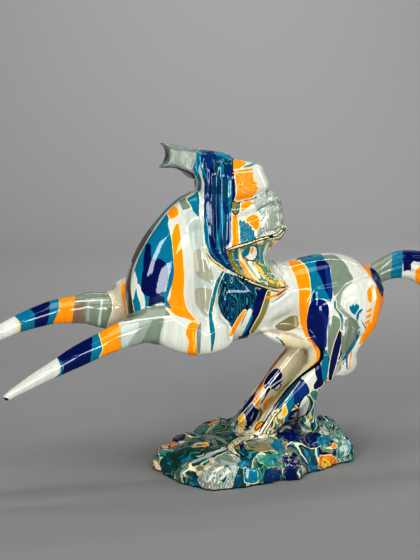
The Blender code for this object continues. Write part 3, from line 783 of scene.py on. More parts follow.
# Each pour: its lacquer, the rim it left, and either an outline or a run of (across, down, half width)
POURS = {
    "neck and chest": [
        ("charcoal", "cream", [
            (190, 172, 2.5), (193, 180, 3), (192, 187, 3), (187, 192.5, 2.5), (178, 198, 2.5),
            (166, 208.5, 2.5), (157, 219.5, 2.5), (150, 230, 2.5), (144, 240, 2.5), (138.5, 250, 2.5),
            (133, 260, 2.8), (129, 270, 3), (128, 280, 3), (127.5, 290, 3), (129, 300, 3), (132, 318, 3),
        ]),
        # Painted shade: umber at the throat, under the muzzle
        ("umber", None, [(189.5, 175, 1.0), (191.5, 181, 1.3), (190, 188, 1.0)]),
        ("teal", None, [
            (194.5, 181, 0.8), (193.5, 188, 1.0), (187, 193.5, 1.1), (178, 199, 1.1), (167, 209, 1.1),
            (158, 219.5, 1.0), (151, 230, 0.7),
        ]),
        ("teal", None, [
            (170, 211), (161, 221), (154, 231), (147.5, 241), (142, 251), (138, 260), (135, 269),
            (133, 280), (132, 292), (133, 303), (136, 315), (150, 311), (163, 306), (172, 309),
            (167, 300), (169, 292), (173, 280), (174, 268), (173, 255), (172, 243), (170, 233),
            (168, 224),
        ]),
        ("white", None, [(133.5, 272, 1.5), (134.5, 282, 3), (133, 292, 2), (133, 299, 1)]),
        ("white", None, [(138, 285, 1.5), (140, 293, 3), (142.5, 302, 2.5), (143, 313, 2)]),
        ("navy", None, [(148.5, 246, 2.5), (147.5, 256, 3.5), (147, 266, 4)]),
        ("navy", None, [
            (145, 262), (152, 259), (161, 259), (167, 265), (168, 279), (164, 291), (157, 297), (147, 296),
            (141, 290), (142, 276),
        ]),
        ("navy", None, [(150, 295), (164, 297), (163, 306), (150, 310)]),
        ("orange", "cream", [(168, 213), (174, 206), (177.5, 209), (178, 215), (171, 219)]),
        ("orange", "cream", [
            (178, 223), (181, 240), (183, 258), (184, 280), (184, 298), (188, 311), (200, 325), (190, 321),
            (176, 315), (164, 305), (170, 299), (172, 285), (174, 270), (173, 250), (172, 236), (174, 228),
        ]),
        ("sage", None, [(179, 200), (190, 197), (192, 204), (190, 208), (183, 210), (181, 205)]),
        ("teal", "cream", [
            (187, 199), (193, 195), (198, 191), (199.5, 200), (199, 215), (198, 231), (195, 218),
            (191, 206),
        ]),
        ("teal", None, [
            (199, 153, 2.5), (197, 163, 2.8), (196, 172, 2.2), (199.5, 180, 1.5), (199, 190, 2),
        ]),
        ("pale", None, [
            (186, 213), (192, 210), (200, 220), (203, 238), (207, 254), (212, 270), (214, 286), (213, 310),
            (207, 319), (198, 309), (194.5, 290), (194, 262), (191, 240),
        ]),
        # Painted shade: taupe in the hollow of the neck flute
        ("taupe", None, [
            (194, 251), (201, 249), (207, 258), (212, 272), (213.5, 283), (203, 280), (195.5, 273),
        ]),
        ("taupe", None, [(195, 288), (212, 290), (211, 312), (206, 317), (196, 304)]),
        ("teal", "cream", [
            (223, 272, 1.2), (217, 284, 1.8), (213, 300, 1.8), (210.5, 315, 1.6), (212, 327, 2.2),
            (213, 337, 2.2), (211.5, 351, 1),
        ]),
    ],
    "muzzle": [
        ("pewter", None, [
            (150, 132), (170, 137), (187, 141), (199, 144), (199, 152), (195, 162), (192, 179), (184, 180),
            (171, 175), (154, 172), (150, 155),
        ]),
        ("silver", None, [
            (170, 150), (180, 151), (196, 153), (195, 163), (191, 170), (184, 167), (171, 163), (169, 157),
        ]),
        ("charcoal", None, [(160.5, 144, 1.2), (165, 150, 1.2), (167, 156, 1.2), (162, 163, 1)]),
        ("charcoal", None, [(165, 167, 0.8), (176, 168, 0.8), (186, 171, 0.9), (193, 175, 1.5)]),
    ],
    "curtain": [
        ("marine", None, [
            (207, 152), (212, 160), (214, 175), (219, 186), (224, 168), (229, 163), (233, 170),
            (235, 183), (235.5, 195), (232, 205), (231, 220), (231, 240), (226, 249), (231, 262),
            (239, 274), (229, 270), (219, 265), (211, 258), (206, 247), (204, 230), (204, 205),
            (204.5, 185), (206, 165),
        ]),
        ("navy", None, [
            (211, 162, 1), (212.5, 180, 2.4), (213.5, 200, 3), (214, 220, 2.6), (213, 240, 2.4),
            (219, 258, 1),
        ]),
        ("navy", None, [(233, 170, 1), (234, 182, 1.6), (233.5, 196, 1.3), (231, 206, 0.8)]),
        ("petrol", None, [(226, 214, 0.8), (226.5, 226, 1.8), (224, 240, 1.8), (223, 252, 1)]),
        ("marine", None, [(202, 152), (212, 151), (216, 156), (213, 166), (206, 170), (202, 163)]),
        ("teal", None, [(218, 153.5, 2), (226, 156.5, 2.5), (232, 160, 1)]),
        ("teal", None, [(201, 163, 1.5), (203, 171, 1.5), (206.5, 178, 1)]),
        ("teal", None, [(221, 163, 1.5), (222, 172, 1.8), (220, 181, 0.8)]),
        ("petrol", None, [(222, 181), (227, 178), (229, 188), (228, 200), (223, 203), (220, 193)]),
        ("teal", None, [(230, 177, 1.2), (230.5, 190, 1.8), (230, 203, 1.6), (229.5, 216, 0.8)]),
        ("petrol", None, [(214, 178, 1), (213.5, 195, 1.4), (213, 215, 1.4), (213, 236, 1.2)]),
        ("teal", None, [
            (219.5, 195, 1), (221, 208, 2), (222.5, 218, 2.8), (221, 230, 2), (218, 241, 2.2),
            (220, 252, 1.6), (227, 264, 0.8),
        ]),
        ("teal", None, [
            (206.5, 212, 1), (206.5, 228, 1.8), (207.5, 242, 1.8), (212, 253, 1.3), (220, 263, 0.8),
        ]),
        ("olive", "cream", [(205, 245, 0.8), (208, 255, 1), (214, 262, 1), (224, 269, 0.8)]),
    ],
    "mane": [
        ("orange", None, [(234, 158), (240, 160), (246, 163), (243, 166), (238, 169), (233, 171)]),
        ("orange", None, [(233, 173, 0.8), (242, 171, 1.3), (252, 169.5, 1)]),
        ("green", None, [(244, 167, 0.7), (250, 165.5, 1), (255, 163.5, 0.7)]),
        ("orange", "cream", [
            (235, 174), (244, 173), (253, 172), (253, 177), (254.5, 180), (253, 182), (257.5, 182.5),
            (256, 185.5), (259, 188.5), (256, 190.5), (257, 193), (253, 194.5), (252.5, 197.5),
            (243, 199.5), (236, 201), (237, 190),
        ]),
        ("olive", "ink", [(232, 202.5), (239, 202), (238, 212), (235, 214), (232.5, 211)]),
        ("teal", None, [(237.5, 203, 0.9), (236, 212, 0.8)]),
        ("orange", "cream", [(241, 204), (248, 201), (253, 202), (250, 206), (242, 211)]),
        ("orange", "cream", [(235, 217, 2.2), (235.5, 230, 3), (236, 240, 3), (233.5, 247, 1.8)]),
        ("yellow", None, [(238, 220, 0.8), (238.5, 230, 1), (238.5, 240, 0.8)]),
        ("orange", "cream", [(246, 220), (252, 215), (258, 216), (260, 223), (257, 230), (252, 226)]),
        ("teal", "cream", [
            (239, 221.5), (241, 219.5), (242, 222), (244.5, 220.5), (245.5, 223.5), (248.5, 223),
            (248.5, 226.5), (251.5, 226.5), (251.5, 230), (254.5, 231), (254, 235), (256.5, 238),
            (255, 241), (248, 242.5), (241, 244),
        ]),
        ("forest", None, [(235.5, 203.5, 0.5), (244, 200.8, 0.8), (252, 198.8, 0.7), (258, 196.5, 0.4)]),
        ("silver", None, [(252, 204, 0.8), (262, 199, 1.6), (272, 195, 1.8), (278, 197, 0.8)]),
        ("sage", None, [(256, 211, 0.8), (266, 205, 1), (276, 201, 1), (281, 204, 0.8)]),
        ("silver", None, [(269, 232, 1.2), (273, 224, 2.8), (275, 215, 3.4), (282, 210, 1.4)]),
        ("white", None, [(262, 228, 1), (264.5, 221, 1.8), (268, 215, 1)]),
        ("sage", None, [(258, 236, 1.2), (266, 230, 1), (276, 229, 1.2), (281, 224, 1)]),
        ("cream", "ink", [
            (226, 250.5, 0.6), (236, 247, 0.8), (248, 243.5, 0.8), (262, 238.5, 0.8), (276, 235, 0.8),
            (282, 230, 0.7),
        ]),
        ("green", "cream", [(284, 228, 1.2), (285.5, 233, 1.5), (281, 238.5, 1.2), (274, 240, 0.8)]),
    ],
    "lower fold": [
        ("olive", None, [(230, 253, 1.8), (232, 262, 2), (239, 272, 2), (250, 280, 1.2)]),
        ("teal", None, [(236.5, 250, 1.2), (236, 257, 1.8), (240, 266, 1.8), (247, 274, 1)]),
        ("cream", None, [
            (240, 250, 1), (240.5, 258, 1.5), (245, 266, 2.4), (251, 274, 2.2), (259, 281, 1),
        ]),
        ("orange", None, [(239.5, 261, 1.2), (244, 268, 1.7), (249, 275, 1.6), (255, 281, 0.8)]),
        ("white", "ink", [
            (246, 250), (251, 246), (256, 247.5), (257, 254), (254, 260), (248, 259.5), (243.5, 255),
        ]),
        ("orange", None, [(252.5, 249.5, 1.6), (251.5, 253, 1.2)]),
        ("teal", None, [(246.5, 248), (250, 247), (249, 254), (245, 257), (243, 254)]),
        ("white", None, [(249, 262, 1.5), (254, 269, 2), (260, 278, 1.4)]),
        ("yellow", None, [(254, 262, 0.6), (258, 268, 0.9), (265, 277, 0.9), (275, 285, 0.8)]),
        ("olive", None, [(257, 261, 0.5), (261, 267, 0.8), (268, 276, 0.8), (278, 284, 0.6)]),
        ("green", None, [(263, 245, 1.2), (261, 254, 1), (262, 262, 1), (268, 272, 0.9)]),
        ("cream", None, [(266, 261, 0.8), (272, 271, 1), (279, 280, 1), (284, 286, 1)]),
        ("pale", None, [
            (268, 243, 1), (265, 251, 1.4), (265.5, 258, 1.6), (274, 270, 1.6), (282, 280, 1),
        ]),
        ("cream", "ink", [
            (239, 276, 0.8), (250, 281.5, 1), (262, 286, 1), (275, 289.5, 1), (286, 289, 1),
        ]),
        ("rust", "cream", [(268, 298, 0.8), (278, 294.5, 1), (287, 288.5, 0.7)]),
    ],
    "barrel": [
        ("orange", "cream", [(245, 311, 1.2), (238, 322, 1.8), (231, 335, 1.4)]),
        ("white", None, [(250, 311, 2.5), (246, 322, 3), (240, 334, 2.5)]),
        ("navy", None, [
            (258, 290), (270, 287.5), (266, 297), (263, 308), (258, 320), (251, 331), (243, 339),
            (242, 334), (249, 322), (254, 311), (256, 300),
        ]),
        ("teal", None, [(252, 316, 1), (248, 326, 1.3), (243, 335, 1)]),
        ("olive", "cream", [(269, 292, 1.5), (266, 305, 2.6), (261, 318, 2.6), (252, 332, 1.6)]),
        ("sage", None, [(268, 303, 1), (264, 315, 1), (258, 326, 0.8)]),
        ("orange", None, [(266, 297.5, 1), (271, 297, 1.3), (276, 295, 0.8)]),
    ],
    "flank": [
        # Painted shade: silver-grey along the two pressed creases of the flank
        ("silver", None, [(268, 256, 0.6), (276, 265, 0.9), (284, 275, 0.6)]),
        ("silver", None, [(272, 303, 0.6), (281, 296.5, 0.9), (288, 289, 0.5)]),
        # Painted shade: khaki in the flank hollow, with a lighter tan edge on its right
        ("khaki", None, [
            (274.5, 326.5), (284, 319.5), (292.5, 315.5), (297.5, 316.5), (298.5, 326), (290, 330.5),
            (282.5, 331.5),
        ]),
        ("tan", None, [(294.5, 316.5, 0.8), (296, 321, 1.6), (295.5, 326, 1.2)]),
        ("oatmeal", None, [
            (262, 332, 1.2), (272, 331, 1.6), (284, 334, 3), (296, 338, 3.6), (306, 345, 3),
        ]),
    ],
    "rump": [
        ("orange", "cream", [
            (288, 261), (299, 261), (306, 267), (309, 278), (310.5, 292), (309, 304), (307, 316),
            (307, 326), (311, 337), (316.5, 347), (319, 355), (318, 362), (312, 368), (316.5, 358),
            (313, 348), (306, 337), (301, 325), (299, 308), (299, 291), (296, 277), (292, 269),
        ]),
        ("teal", None, [
            (300, 259), (309, 255), (320, 254), (329, 261), (331, 276), (332.5, 290), (331, 302),
            (325, 299), (316, 299), (311, 303), (311, 290), (309.5, 278), (306, 267),
        ]),
        ("navy", None, [(294, 261, 0.8), (302, 257.5, 1), (312, 256, 0.8)]),
        ("navy", None, [
            (316, 262), (322, 259), (329, 265), (330.5, 277), (332.5, 292), (331.5, 301), (326, 291),
            (321, 279), (317, 270),
        ]),
        ("blue", None, [(325.5, 264, 1.0), (328, 276, 2.4), (329.5, 288, 2.2), (330.8, 298, 0.9)]),
        ("navy", None, [(314, 294.5, 1.3), (314.5, 301, 1)]),
        ("indigo", None, [
            (312, 301), (319, 299), (326, 301), (329, 309), (328, 322), (326, 334), (325, 346), (324, 358),
            (319, 362), (318, 352), (312, 342), (307.5, 331), (307, 318), (309, 307),
        ]),
        ("blue", None, [(327, 318, 0.9), (326, 332, 1.1), (325.5, 346, 1)]),
        ("sage", None, [
            (323, 256), (334, 255), (341, 259), (347, 266), (350, 273), (353.5, 279), (346, 283),
            (340, 290), (334, 296), (332, 285), (330.5, 268),
        ]),
        # Painted shade: silver along the groove round the ham
        ("silver", None, [
            (352, 282, 0.6), (345, 287, 1.2), (339.5, 295, 2.2), (338.5, 304, 2.3), (342.5, 311.5, 2.2),
            (349, 317, 1.7), (356, 321.5, 0.7),
        ]),
        ("orange", None, [
            (356, 259), (362, 259), (371, 266), (373, 272), (375, 280), (372, 279), (366, 271), (360, 264),
        ]),
        ("orange", None, [(371.5, 284), (374, 288), (372, 295), (371, 303), (368, 300), (367, 292)]),
        ("orange", "cream", [
            (377, 288, 1.5), (381, 299, 4.5), (379, 312, 5.6), (373, 324, 4.4), (366.5, 334, 3),
            (360, 343, 1.4),
        ]),
        ("orange", None, [(367.5, 311.5, 1.0), (372, 309.5, 1.6), (378, 309, 1.2)]),
        ("orange", None, [(366.5, 317.5, 1.0), (371, 315.3, 1.6), (377, 315, 1.2)]),
        ("orange", None, [(365.5, 323.5, 0.9), (370, 321, 1.6), (375, 321, 1.2)]),
        ("cream", None, [(372.5, 290, 0.7), (373.2, 302, 1.1), (372.6, 313, 1.0), (370.5, 323, 0.6)]),
        ("teal", None, [
            (349.3, 308), (350.6, 304.5), (352.2, 306.5), (353.3, 302.2), (354.8, 305.6), (356.2, 302.4),
            (357.2, 305.6), (358.8, 303.8), (359.2, 308.5), (356.6, 312), (355, 314.8), (351.5, 312),
        ]),
        ("teal", None, [(363, 309, 0.7), (359.5, 312, 1.5), (357.8, 316, 1.3), (357.5, 320.5, 0.7)]),
        ("white", None, [(361.2, 311, 0.3), (359.5, 314.5, 0.5), (359.2, 317, 0.3)]),
        ("teal", None, [(361, 320, 0.7), (364, 325, 0.8), (366, 328.5, 0.7)]),
        ("sage", None, [
            (329, 317), (335, 316), (340.5, 320), (340, 328), (337, 340), (334, 352), (331, 362),
            (328, 352), (328, 333),
        ]),
        ("sage", None, [
            (345, 320), (351, 318), (357, 321), (359, 328), (357, 338), (351, 347), (343, 356), (341, 349),
            (342, 335),
        ]),
        ("teal", "cream", [
            (335, 301, 0.9), (335.5, 308, 1), (341, 315.5, 1.3), (342.5, 322, 1.4), (341.5, 330, 0.9),
        ]),
        ("white", None, [(344.5, 324, 0.8), (344, 330, 1.4), (343, 336, 0.8)]),
        ("navy", "cream", [
            (340.5, 330, 1), (338.5, 341, 2.8), (335, 355, 3.2), (332, 368, 2.8), (330, 379, 1.5),
        ]),
        ("teal", None, [(326, 351, 1), (326, 362, 2.8), (325, 372, 2.8), (324.5, 380, 1.8)]),
        ("teal", None, [
            (359.5, 327, 1), (358, 336, 1.4), (353, 345, 1.8), (347, 354, 1.6), (343, 360, 1),
        ]),
        ("teal", None, [(348.5, 350, 0.8), (346.5, 358, 1.3), (347.5, 369, 0.8)]),
        ("orange", None, [(352, 351, 0.6), (350, 361, 0.9), (350, 372, 0.6)]),
        ("pale", None, [(342, 359, 1), (338, 368, 1.8), (333, 378, 1)]),
    ],
    "near hind leg": [
        ("white", None, [
            (301, 379.5), (307.5, 374), (313, 371), (316, 379), (313.5, 387), (309, 393), (306, 385),
        ]),
        ("green", "cream", [(310, 393), (315, 389.5), (318.5, 394), (316, 401), (312, 397)]),
        ("navy", "cream", [
            (315, 365.5), (320, 363), (322, 370), (324, 378), (323, 385), (315, 390), (313.5, 385.5),
            (317, 379), (315, 372),
        ]),
        ("teal", None, [
            (323.5, 351), (327.5, 355), (328.5, 363), (327, 373), (325, 383), (322.5, 376), (321, 366),
            (323.5, 359),
        ]),
        ("petrol", None, [
            (292, 382), (300.5, 377), (301, 381), (291, 393.5), (281, 407), (276, 408), (284, 394),
        ]),
        ("teal", "ink", [
            (292.5, 392), (295, 396), (295.5, 403), (289, 411.5), (286, 406), (282, 410.5), (280, 407.5),
            (286, 399),
        ]),
        ("blue", "ink", [
            (294, 390.5), (298.5, 382.5), (302.5, 380.5), (306, 385), (308.5, 392), (303, 397),
            (297.5, 402.5), (295.2, 403), (295.3, 396),
        ]),
        ("navy", None, [(297, 390, 0.5), (297.5, 395, 0.9), (298, 400, 0.6)]),
        # Painted highlight: a white line along the near cannon's ridge
        ("white", None, [(300, 381.3, 0.4), (293, 391, 0.6), (281.6, 405.7, 0.4)]),
        ("yellow", "cream", [(284.7, 404), (287.3, 412), (284, 417), (281.8, 415), (282.5, 410)]),
        ("orange", None, [(284.6, 409, 0.5), (284.3, 413, 0.8)]),
        ("navy", None, [(290, 412), (298, 408.5), (299, 414), (294, 419.5), (288, 418.5)]),
        ("white", "ink", [
            (306, 395), (310, 401), (308.5, 407.5), (305, 414), (297.5, 418), (299, 410), (300.7, 403),
        ]),
        ("petrol", "cream", [(308.5, 395.5, 0.8), (312, 402.5, 1.3), (310, 409.5, 1.2), (306, 416, 0.8)]),
        ("yellow", None, [(310.5, 413, 0.8), (311, 417.5, 1.4)]),
        ("cream", "ink", [(276, 413, 0.6), (270, 423, 1.0), (264, 433, 1.0)]),
        ("yellow", None, [(279, 413, 0.4), (275.5, 421, 0.7), (271.5, 433, 0.5)]),
        ("sage", None, [(282.5, 418, 0.7), (278, 426, 1.1), (275, 434, 0.7)]),
        ("petrol", "cream", [(273.5, 419, 0.6), (272, 425, 1.0), (270.5, 429, 0.5)]),
        # Painted shade: an ink line down the near hind leg's front, where it stands before the far leg
        ("ink", None, [
            (318, 343, 0.6), (321.5, 350, 1.3), (321.5, 357, 1.7), (317.5, 363.5, 1.7),
            (309.5, 369.6, 1.5), (301, 376, 1.3), (292, 383.8, 1.1), (286.5, 390, 0.9),
            (277, 403, 0.8), (267, 418.5, 0.7), (259, 432, 0.6),
        ]),
        ("orange", None, [
            (311, 339.5, 0.7), (316.5, 347, 1.1), (318.6, 353, 1.4), (317.5, 359, 1.3), (313, 364.3, 1.0),
            (306, 369.2, 0.6),
        ]),
        ("rust", None, [
            (306, 369.2, 0.5), (299, 374.6, 0.6), (289, 383.5, 0.5), (280, 396, 0.5), (268, 413, 0.4),
        ]),
    ],
    "far hind leg": [
        ("sand", None, [
            (280, 334), (292, 336), (303, 340), (311, 342), (316, 352), (316, 361), (306, 370), (296, 379),
            (286, 389), (276, 401), (266, 415), (258, 431), (248, 437), (235, 431), (244, 412), (254, 396),
            (263, 380), (272, 367), (282, 357), (284, 350), (281, 342),
        ]),
        ("tan", None, [
            (262, 420), (270, 404), (280, 390), (292, 378), (288, 386), (276, 401), (266, 416),
            (259, 430), (254, 432),
        ]),
        # Painted shade: a khaki line in the crease where the near leg stands in front
        ("khaki", None, [(301, 344.5, 0.3), (304.5, 350, 0.55), (306.3, 358, 0.55), (306, 365, 0.3)]),
        # Painted shadow: a charcoal line under the flank fold, at the top of the far leg
        ("charcoal", None, [(275.5, 336.5, 0.3), (281, 340.5, 0.6), (285, 346.5, 0.5)]),
        ("rust", None, [
            (286, 347.5, 0.4), (285.5, 350.5, 1.0), (281.5, 355.5, 1.2), (274.5, 364, 1.1),
            (267, 375, 1.0), (258, 388.5, 1.0), (251, 399, 0.8),
        ]),
        ("orange", None, [(276, 366, 0.4), (270, 374, 0.7), (264, 383, 0.8), (258.5, 391.5, 0.8)]),
        ("navy", "cream", [
            (263.8, 387), (265, 381), (270, 373), (275.5, 368.3), (280, 369.5), (282.5, 375), (281, 379),
            (273, 385), (267, 389.5),
        ]),
        ("white", None, [(279, 373, 0.6), (274.5, 378, 1.2), (268.5, 383.5, 0.7)]),
        ("navy", None, [(277.5, 373.5, 0.3), (273, 379, 0.4), (269, 383, 0.3)]),
        ("white", None, [(283, 378, 0.7), (275, 385, 1.3), (266, 391.5, 1.4), (261, 397, 1.0)]),
        ("navy", None, [(283, 380, 0.6), (276, 385.5, 0.9), (270.5, 389.5, 0.8)]),
        ("navy", "cream", [(269, 389, 1.4), (267, 392.5, 1.2), (264.5, 398, 0.7), (260, 404.5, 0.4)]),
        ("white", "ink", [(279.5, 385.5, 1.2), (276.5, 388.5, 1.4)]),
        ("orange", None, [
            (253, 399), (257.5, 392.5), (261, 396.5), (259, 403.5), (257, 407), (254.5, 404),
        ]),
        ("orange", None, [
            (263, 407), (265.5, 401), (271, 396.5), (275, 394.5), (273, 399), (267.5, 405), (265, 411),
        ]),
        ("navy", None, [(255, 393, 1), (249.5, 402, 2.0), (243, 411.5, 2.2), (236.5, 421, 1.6)]),
        ("navy", None, [
            (252, 403.5), (255, 408), (259, 410), (256, 419), (251.5, 427), (245, 429.5), (246.5, 421),
            (244, 414),
        ]),
        ("pale", None, [(253.5, 412, 0.4), (251.5, 418, 0.6), (249, 424, 0.4)]),
        ("khaki", None, [(260, 408, 0.8), (261, 414, 1.3), (257.5, 421, 1.0)]),
        ("yellow", "cream", [(239, 417), (243, 413.5), (245, 420), (243.5, 427), (238.5, 426)]),
        ("orange", None, [(241.5, 419, 0.6), (241, 424, 0.9)]),
        ("teal", None, [(230.5, 429), (234.5, 421.5), (238.5, 420.5), (237, 426.5), (233, 431)]),
        ("yellow", None, [(243, 411.5, 0.4), (236, 420, 0.5), (228.5, 430, 0.5)]),
        ("orange", "ink", [(256, 429, 0.8), (259, 425.5, 1.3), (262, 423, 0.7)]),
        # Painted highlight: a white line along the far hind leg's front ridge
        ("white", None, [
            (266, 384.5, 0.35), (258, 394.5, 0.55), (250, 404.5, 0.55), (241, 415, 0.5),
            (233, 425, 0.4),
        ]),
    ],
    "tail": [
        ("sage", None, [
            (369, 268), (374, 260), (382, 252), (393, 248), (392, 283), (386, 286), (383, 290), (381, 280),
            (376, 273),
        ]),
        ("navy", None, [
            (369.5, 267), (374, 269), (379, 275), (382, 283), (383.5, 291), (382.5, 297), (379, 291.5),
            (376, 284), (372, 277),
        ]),
        # Painted highlights: pale lines on the ridges between the tail's grooves
        ("pale", None, [(381, 268.5, 0.7), (387, 264, 0.9), (392, 259, 0.7)]),
        ("pale", None, [(380, 274.5, 0.7), (386, 271.5, 0.9), (392, 269, 0.7)]),
        ("teal", None, [(393, 252), (402, 249), (403, 262), (401, 280), (391, 281), (391.5, 266)]),
        ("navy", None, [
            (402, 248), (413, 247), (424, 249), (424, 262), (416, 262), (411, 268), (411, 281),
            (404, 276), (403, 262),
        ]),
        ("white", None, [(400, 280), (402, 273), (406, 270), (410.5, 270.5), (411, 280), (405, 283)]),
        ("white", None, [(411, 264), (414, 261), (418, 263), (418, 268), (414, 270), (412, 268)]),
        ("orange", "cream", [(416, 270), (424, 265), (430, 270), (428, 290), (418, 284), (415, 277)]),
        ("teal", None, [(428, 255), (436, 257), (443, 266), (441, 290), (432, 292), (429, 272)]),
        ("navy", "cream", [(443, 264), (452, 280), (450, 298), (442, 294)]),
        ("orange", "cream", [(452, 288), (460, 300), (460, 308), (449, 305)]),
    ],
    "rock": [
        ("forest", None, [
            (160, 474), (160, 459), (177, 447), (206, 435), (226, 434), (237, 437), (230, 447), (219, 452),
            (190, 455), (177, 468),
        ]),
        ("khaki", "cream", [(150, 449), (158, 447), (161, 458), (158, 466), (151, 464)]),
        ("cream", None, [(153, 460), (158.5, 462), (161, 473), (154, 472)]),
        ("navy", "cream", [(170, 436), (178, 434), (187, 436), (186, 443), (176, 444), (170, 442)]),
        ("orange", "cream", [(164, 446, 0.8), (171, 443, 1.3), (178, 441, 0.8)]),
        ("orange", "ink", [(209, 425, 0.8), (216, 422, 1.5), (227, 422, 1.2)]),
        ("orange", "cream", [(189, 447, 0.8), (197, 445.5, 1.8), (206, 444.5, 0.8)]),
        ("green", None, [(194, 446, 0.6), (198, 445.5, 1.1), (202, 445, 0.6)]),
        ("pale", "ink", [(186, 466, 1), (199, 459, 1.6), (213, 453, 1.6), (224, 450, 1)]),
        ("teal", None, [(184, 461, 0.8), (195, 456, 1.4), (206, 452, 0.8)]),
        ("white", None, [(192, 470, 0.8), (203, 463, 1.2), (214, 457, 0.8)]),
        ("khaki", None, [
            (184, 447, 0.4), (190, 442, 0.5), (200, 439.5, 0.6), (211, 440.5, 0.6), (217, 445, 0.5),
            (208, 449, 0.6), (195, 450.5, 0.5), (186, 450, 0.4),
        ]),
        ("sage", None, [
            (176, 452, 0.4), (184, 441, 0.5), (200, 436.3, 0.5), (216, 437, 0.5), (226, 443, 0.4),
        ]),
        ("cream", None, [(199, 479, 0.4), (207, 466, 0.8), (218, 456.5, 0.8), (227, 452, 0.6)]),
        ("sage", None, [(216, 460), (226, 453), (235, 457), (231, 462), (222, 464)]),
        ("white", None, [(209, 481, 0.6), (215, 473, 1.3), (223, 466, 0.6)]),
        ("white", None, [(217, 485, 0.5), (222, 478, 1.2), (229, 471, 0.5)]),
        ("teal", "cream", [(238, 461), (246, 459), (249, 463), (243, 468), (238, 466)]),
        ("teal", "cream", [(244, 469), (258, 468), (259, 483), (243, 484)]),
        ("pale", None, [(248, 470, 1.2), (247, 482, 1.4)]),
        ("navy", None, [(240, 441, 1.4), (243, 448, 2.2), (247, 455, 1.2)]),
        ("khaki", "cream", [
            (246, 441), (262, 437), (282, 438), (290, 444), (284, 450), (262, 451), (248, 448),
        ]),
        ("silver", None, [(250, 444, 0.8), (262, 441, 1.3), (272, 441, 0.8)]),
        ("teal", None, [(272, 440), (280, 438), (285, 446), (285, 453), (277, 451), (272, 446)]),
        ("green", "cream", [(257, 455), (272, 453), (286, 455), (284, 466), (270, 468), (259, 464)]),
        ("teal", None, [(262, 459, 0.8), (271, 459, 1.8), (280, 461, 0.8)]),
        ("marine", "cream", [(264, 470), (272, 468), (280, 471), (280, 483), (264, 483)]),
        ("navy", None, [
            (285, 457), (296, 455), (300, 463), (298, 476), (293, 485), (284, 484), (286, 470),
        ]),
        ("teal", None, [(300, 457, 0.8), (309, 466, 1.9), (318, 473, 0.8)]),
        ("pale", "ink", [(303, 464), (307, 469), (306.5, 476), (302.5, 478.5), (300.5, 470)]),
        ("navy", None, [(276, 420), (288, 418), (301, 426), (302, 438), (290, 442), (280, 436)]),
        ("white", None, [(281, 431, 1), (285, 427, 1.5), (290, 428, 1)]),
        ("navy", "cream", [(303, 433), (312, 430), (321, 435), (321, 446), (310, 448), (303, 443)]),
        ("teal", None, [(318, 437), (325, 434), (330, 440), (325, 446), (318, 445)]),
        ("white", None, [(318, 426, 1.2), (324, 430, 1.8), (328, 436, 1)]),
        ("orange", "cream", [(321, 447), (329, 445), (337, 444), (336, 449), (326, 451)]),
        ("orange", "cream", [(320, 455), (330, 453), (337, 457), (336, 468), (326, 472), (320, 466)]),
        ("yellow", None, [(323, 458, 1.4), (326, 464, 2.8), (324, 469, 1.6)]),
        ("cream", None, [(336.5, 441, 0.5), (336.5, 452, 0.8), (341, 463, 0.5)]),
        ("pale", None, [(342, 444, 1), (346, 450, 2.4), (344, 459, 1.4)]),
        ("teal", None, [(350, 446, 0.8), (351, 452, 1.5), (350, 459, 0.8)]),
        ("cream", "ink", [(349, 430, 1), (354, 435, 1.8), (356, 444, 1)]),
        ("cream", "ink", [
            (266, 435.5, 0.6), (250, 437.5, 0.9), (238, 441, 1), (231, 448, 1.1), (238, 455, 1),
            (251, 461, 1), (260, 470, 1), (261, 482, 1),
        ]),
    ],
    "near foreleg": [
        ("ink", None, [(-4, 398.5), (2, 397.5), (8, 399), (10, 405), (-4, 405)]),
        ("teal", None, [
            (56, 355), (61, 360), (63, 368), (62, 376), (55, 380), (47, 384), (60, 373), (60, 364),
        ]),
        ("navy", None, [
            (57, 354), (90, 335), (92, 345), (91, 355), (88, 366), (62, 378), (63.5, 368), (61.5, 361),
        ]),
        ("teal", None, [
            (90, 336), (99, 329), (101, 340), (103, 350), (99, 361), (88, 366), (91, 352), (91.5, 344),
        ]),
        ("orange", "cream", [
            (99, 330), (117, 321), (120, 329), (122, 345), (119, 350), (99, 361), (103, 350), (101.5, 340),
        ]),
        ("sage", None, [
            (120, 326), (132, 322), (146, 319), (164, 318), (162, 330), (159, 345), (148, 346), (134, 348),
            (122, 353), (122.5, 340),
        ]),
        ("silver", None, [
            (120.5, 326), (132, 322.5), (146, 319.5), (152, 321), (147, 330), (144, 338), (136, 347.5),
            (122, 353),
        ]),
        ("pale", None, [
            (121, 327), (131, 323.5), (139, 322), (137, 331), (131, 340), (127, 350), (122.3, 352),
        ]),
        ("silver", None, [(128, 346, 0.5), (134, 337, 0.9), (140, 331, 0.5)]),
        ("sage", None, [
            (118, 321), (130, 314), (148, 307), (162, 302), (166, 309), (170, 316), (150, 318), (134, 321),
        ]),
        # Painted highlight: a white line along the near foreleg's top ridge
        ("white", None, [
            (119, 324, 0.7), (134, 320.5, 0.8), (150, 318.5, 0.8), (170, 316.5, 0.8), (186, 319, 0.8),
            (199, 324, 0.8),
        ]),
        ("pale", None, [(166, 319, 1), (162.5, 330, 1.2), (160, 344, 1)]),
        ("orange", "cream", [
            (189, 324), (194, 321), (199, 323), (195.5, 333), (195.5, 343), (197, 356), (187, 356),
            (189, 342), (186, 334), (187, 328),
        ]),
        ("yellow", None, [(193, 331, 0.8), (194, 342, 1), (194, 352, 0.8)]),
        ("pewter", None, [(197, 328), (201, 322), (201, 335), (200, 352), (197.5, 354), (196.5, 341)]),
    ],
    "far foreleg": [
        ("linen", None, [
            (100, 288), (112, 285), (120, 283), (124, 270), (130, 254), (142, 250), (142, 290), (128, 320),
            (112, 325), (107, 331), (112, 300),
        ]),
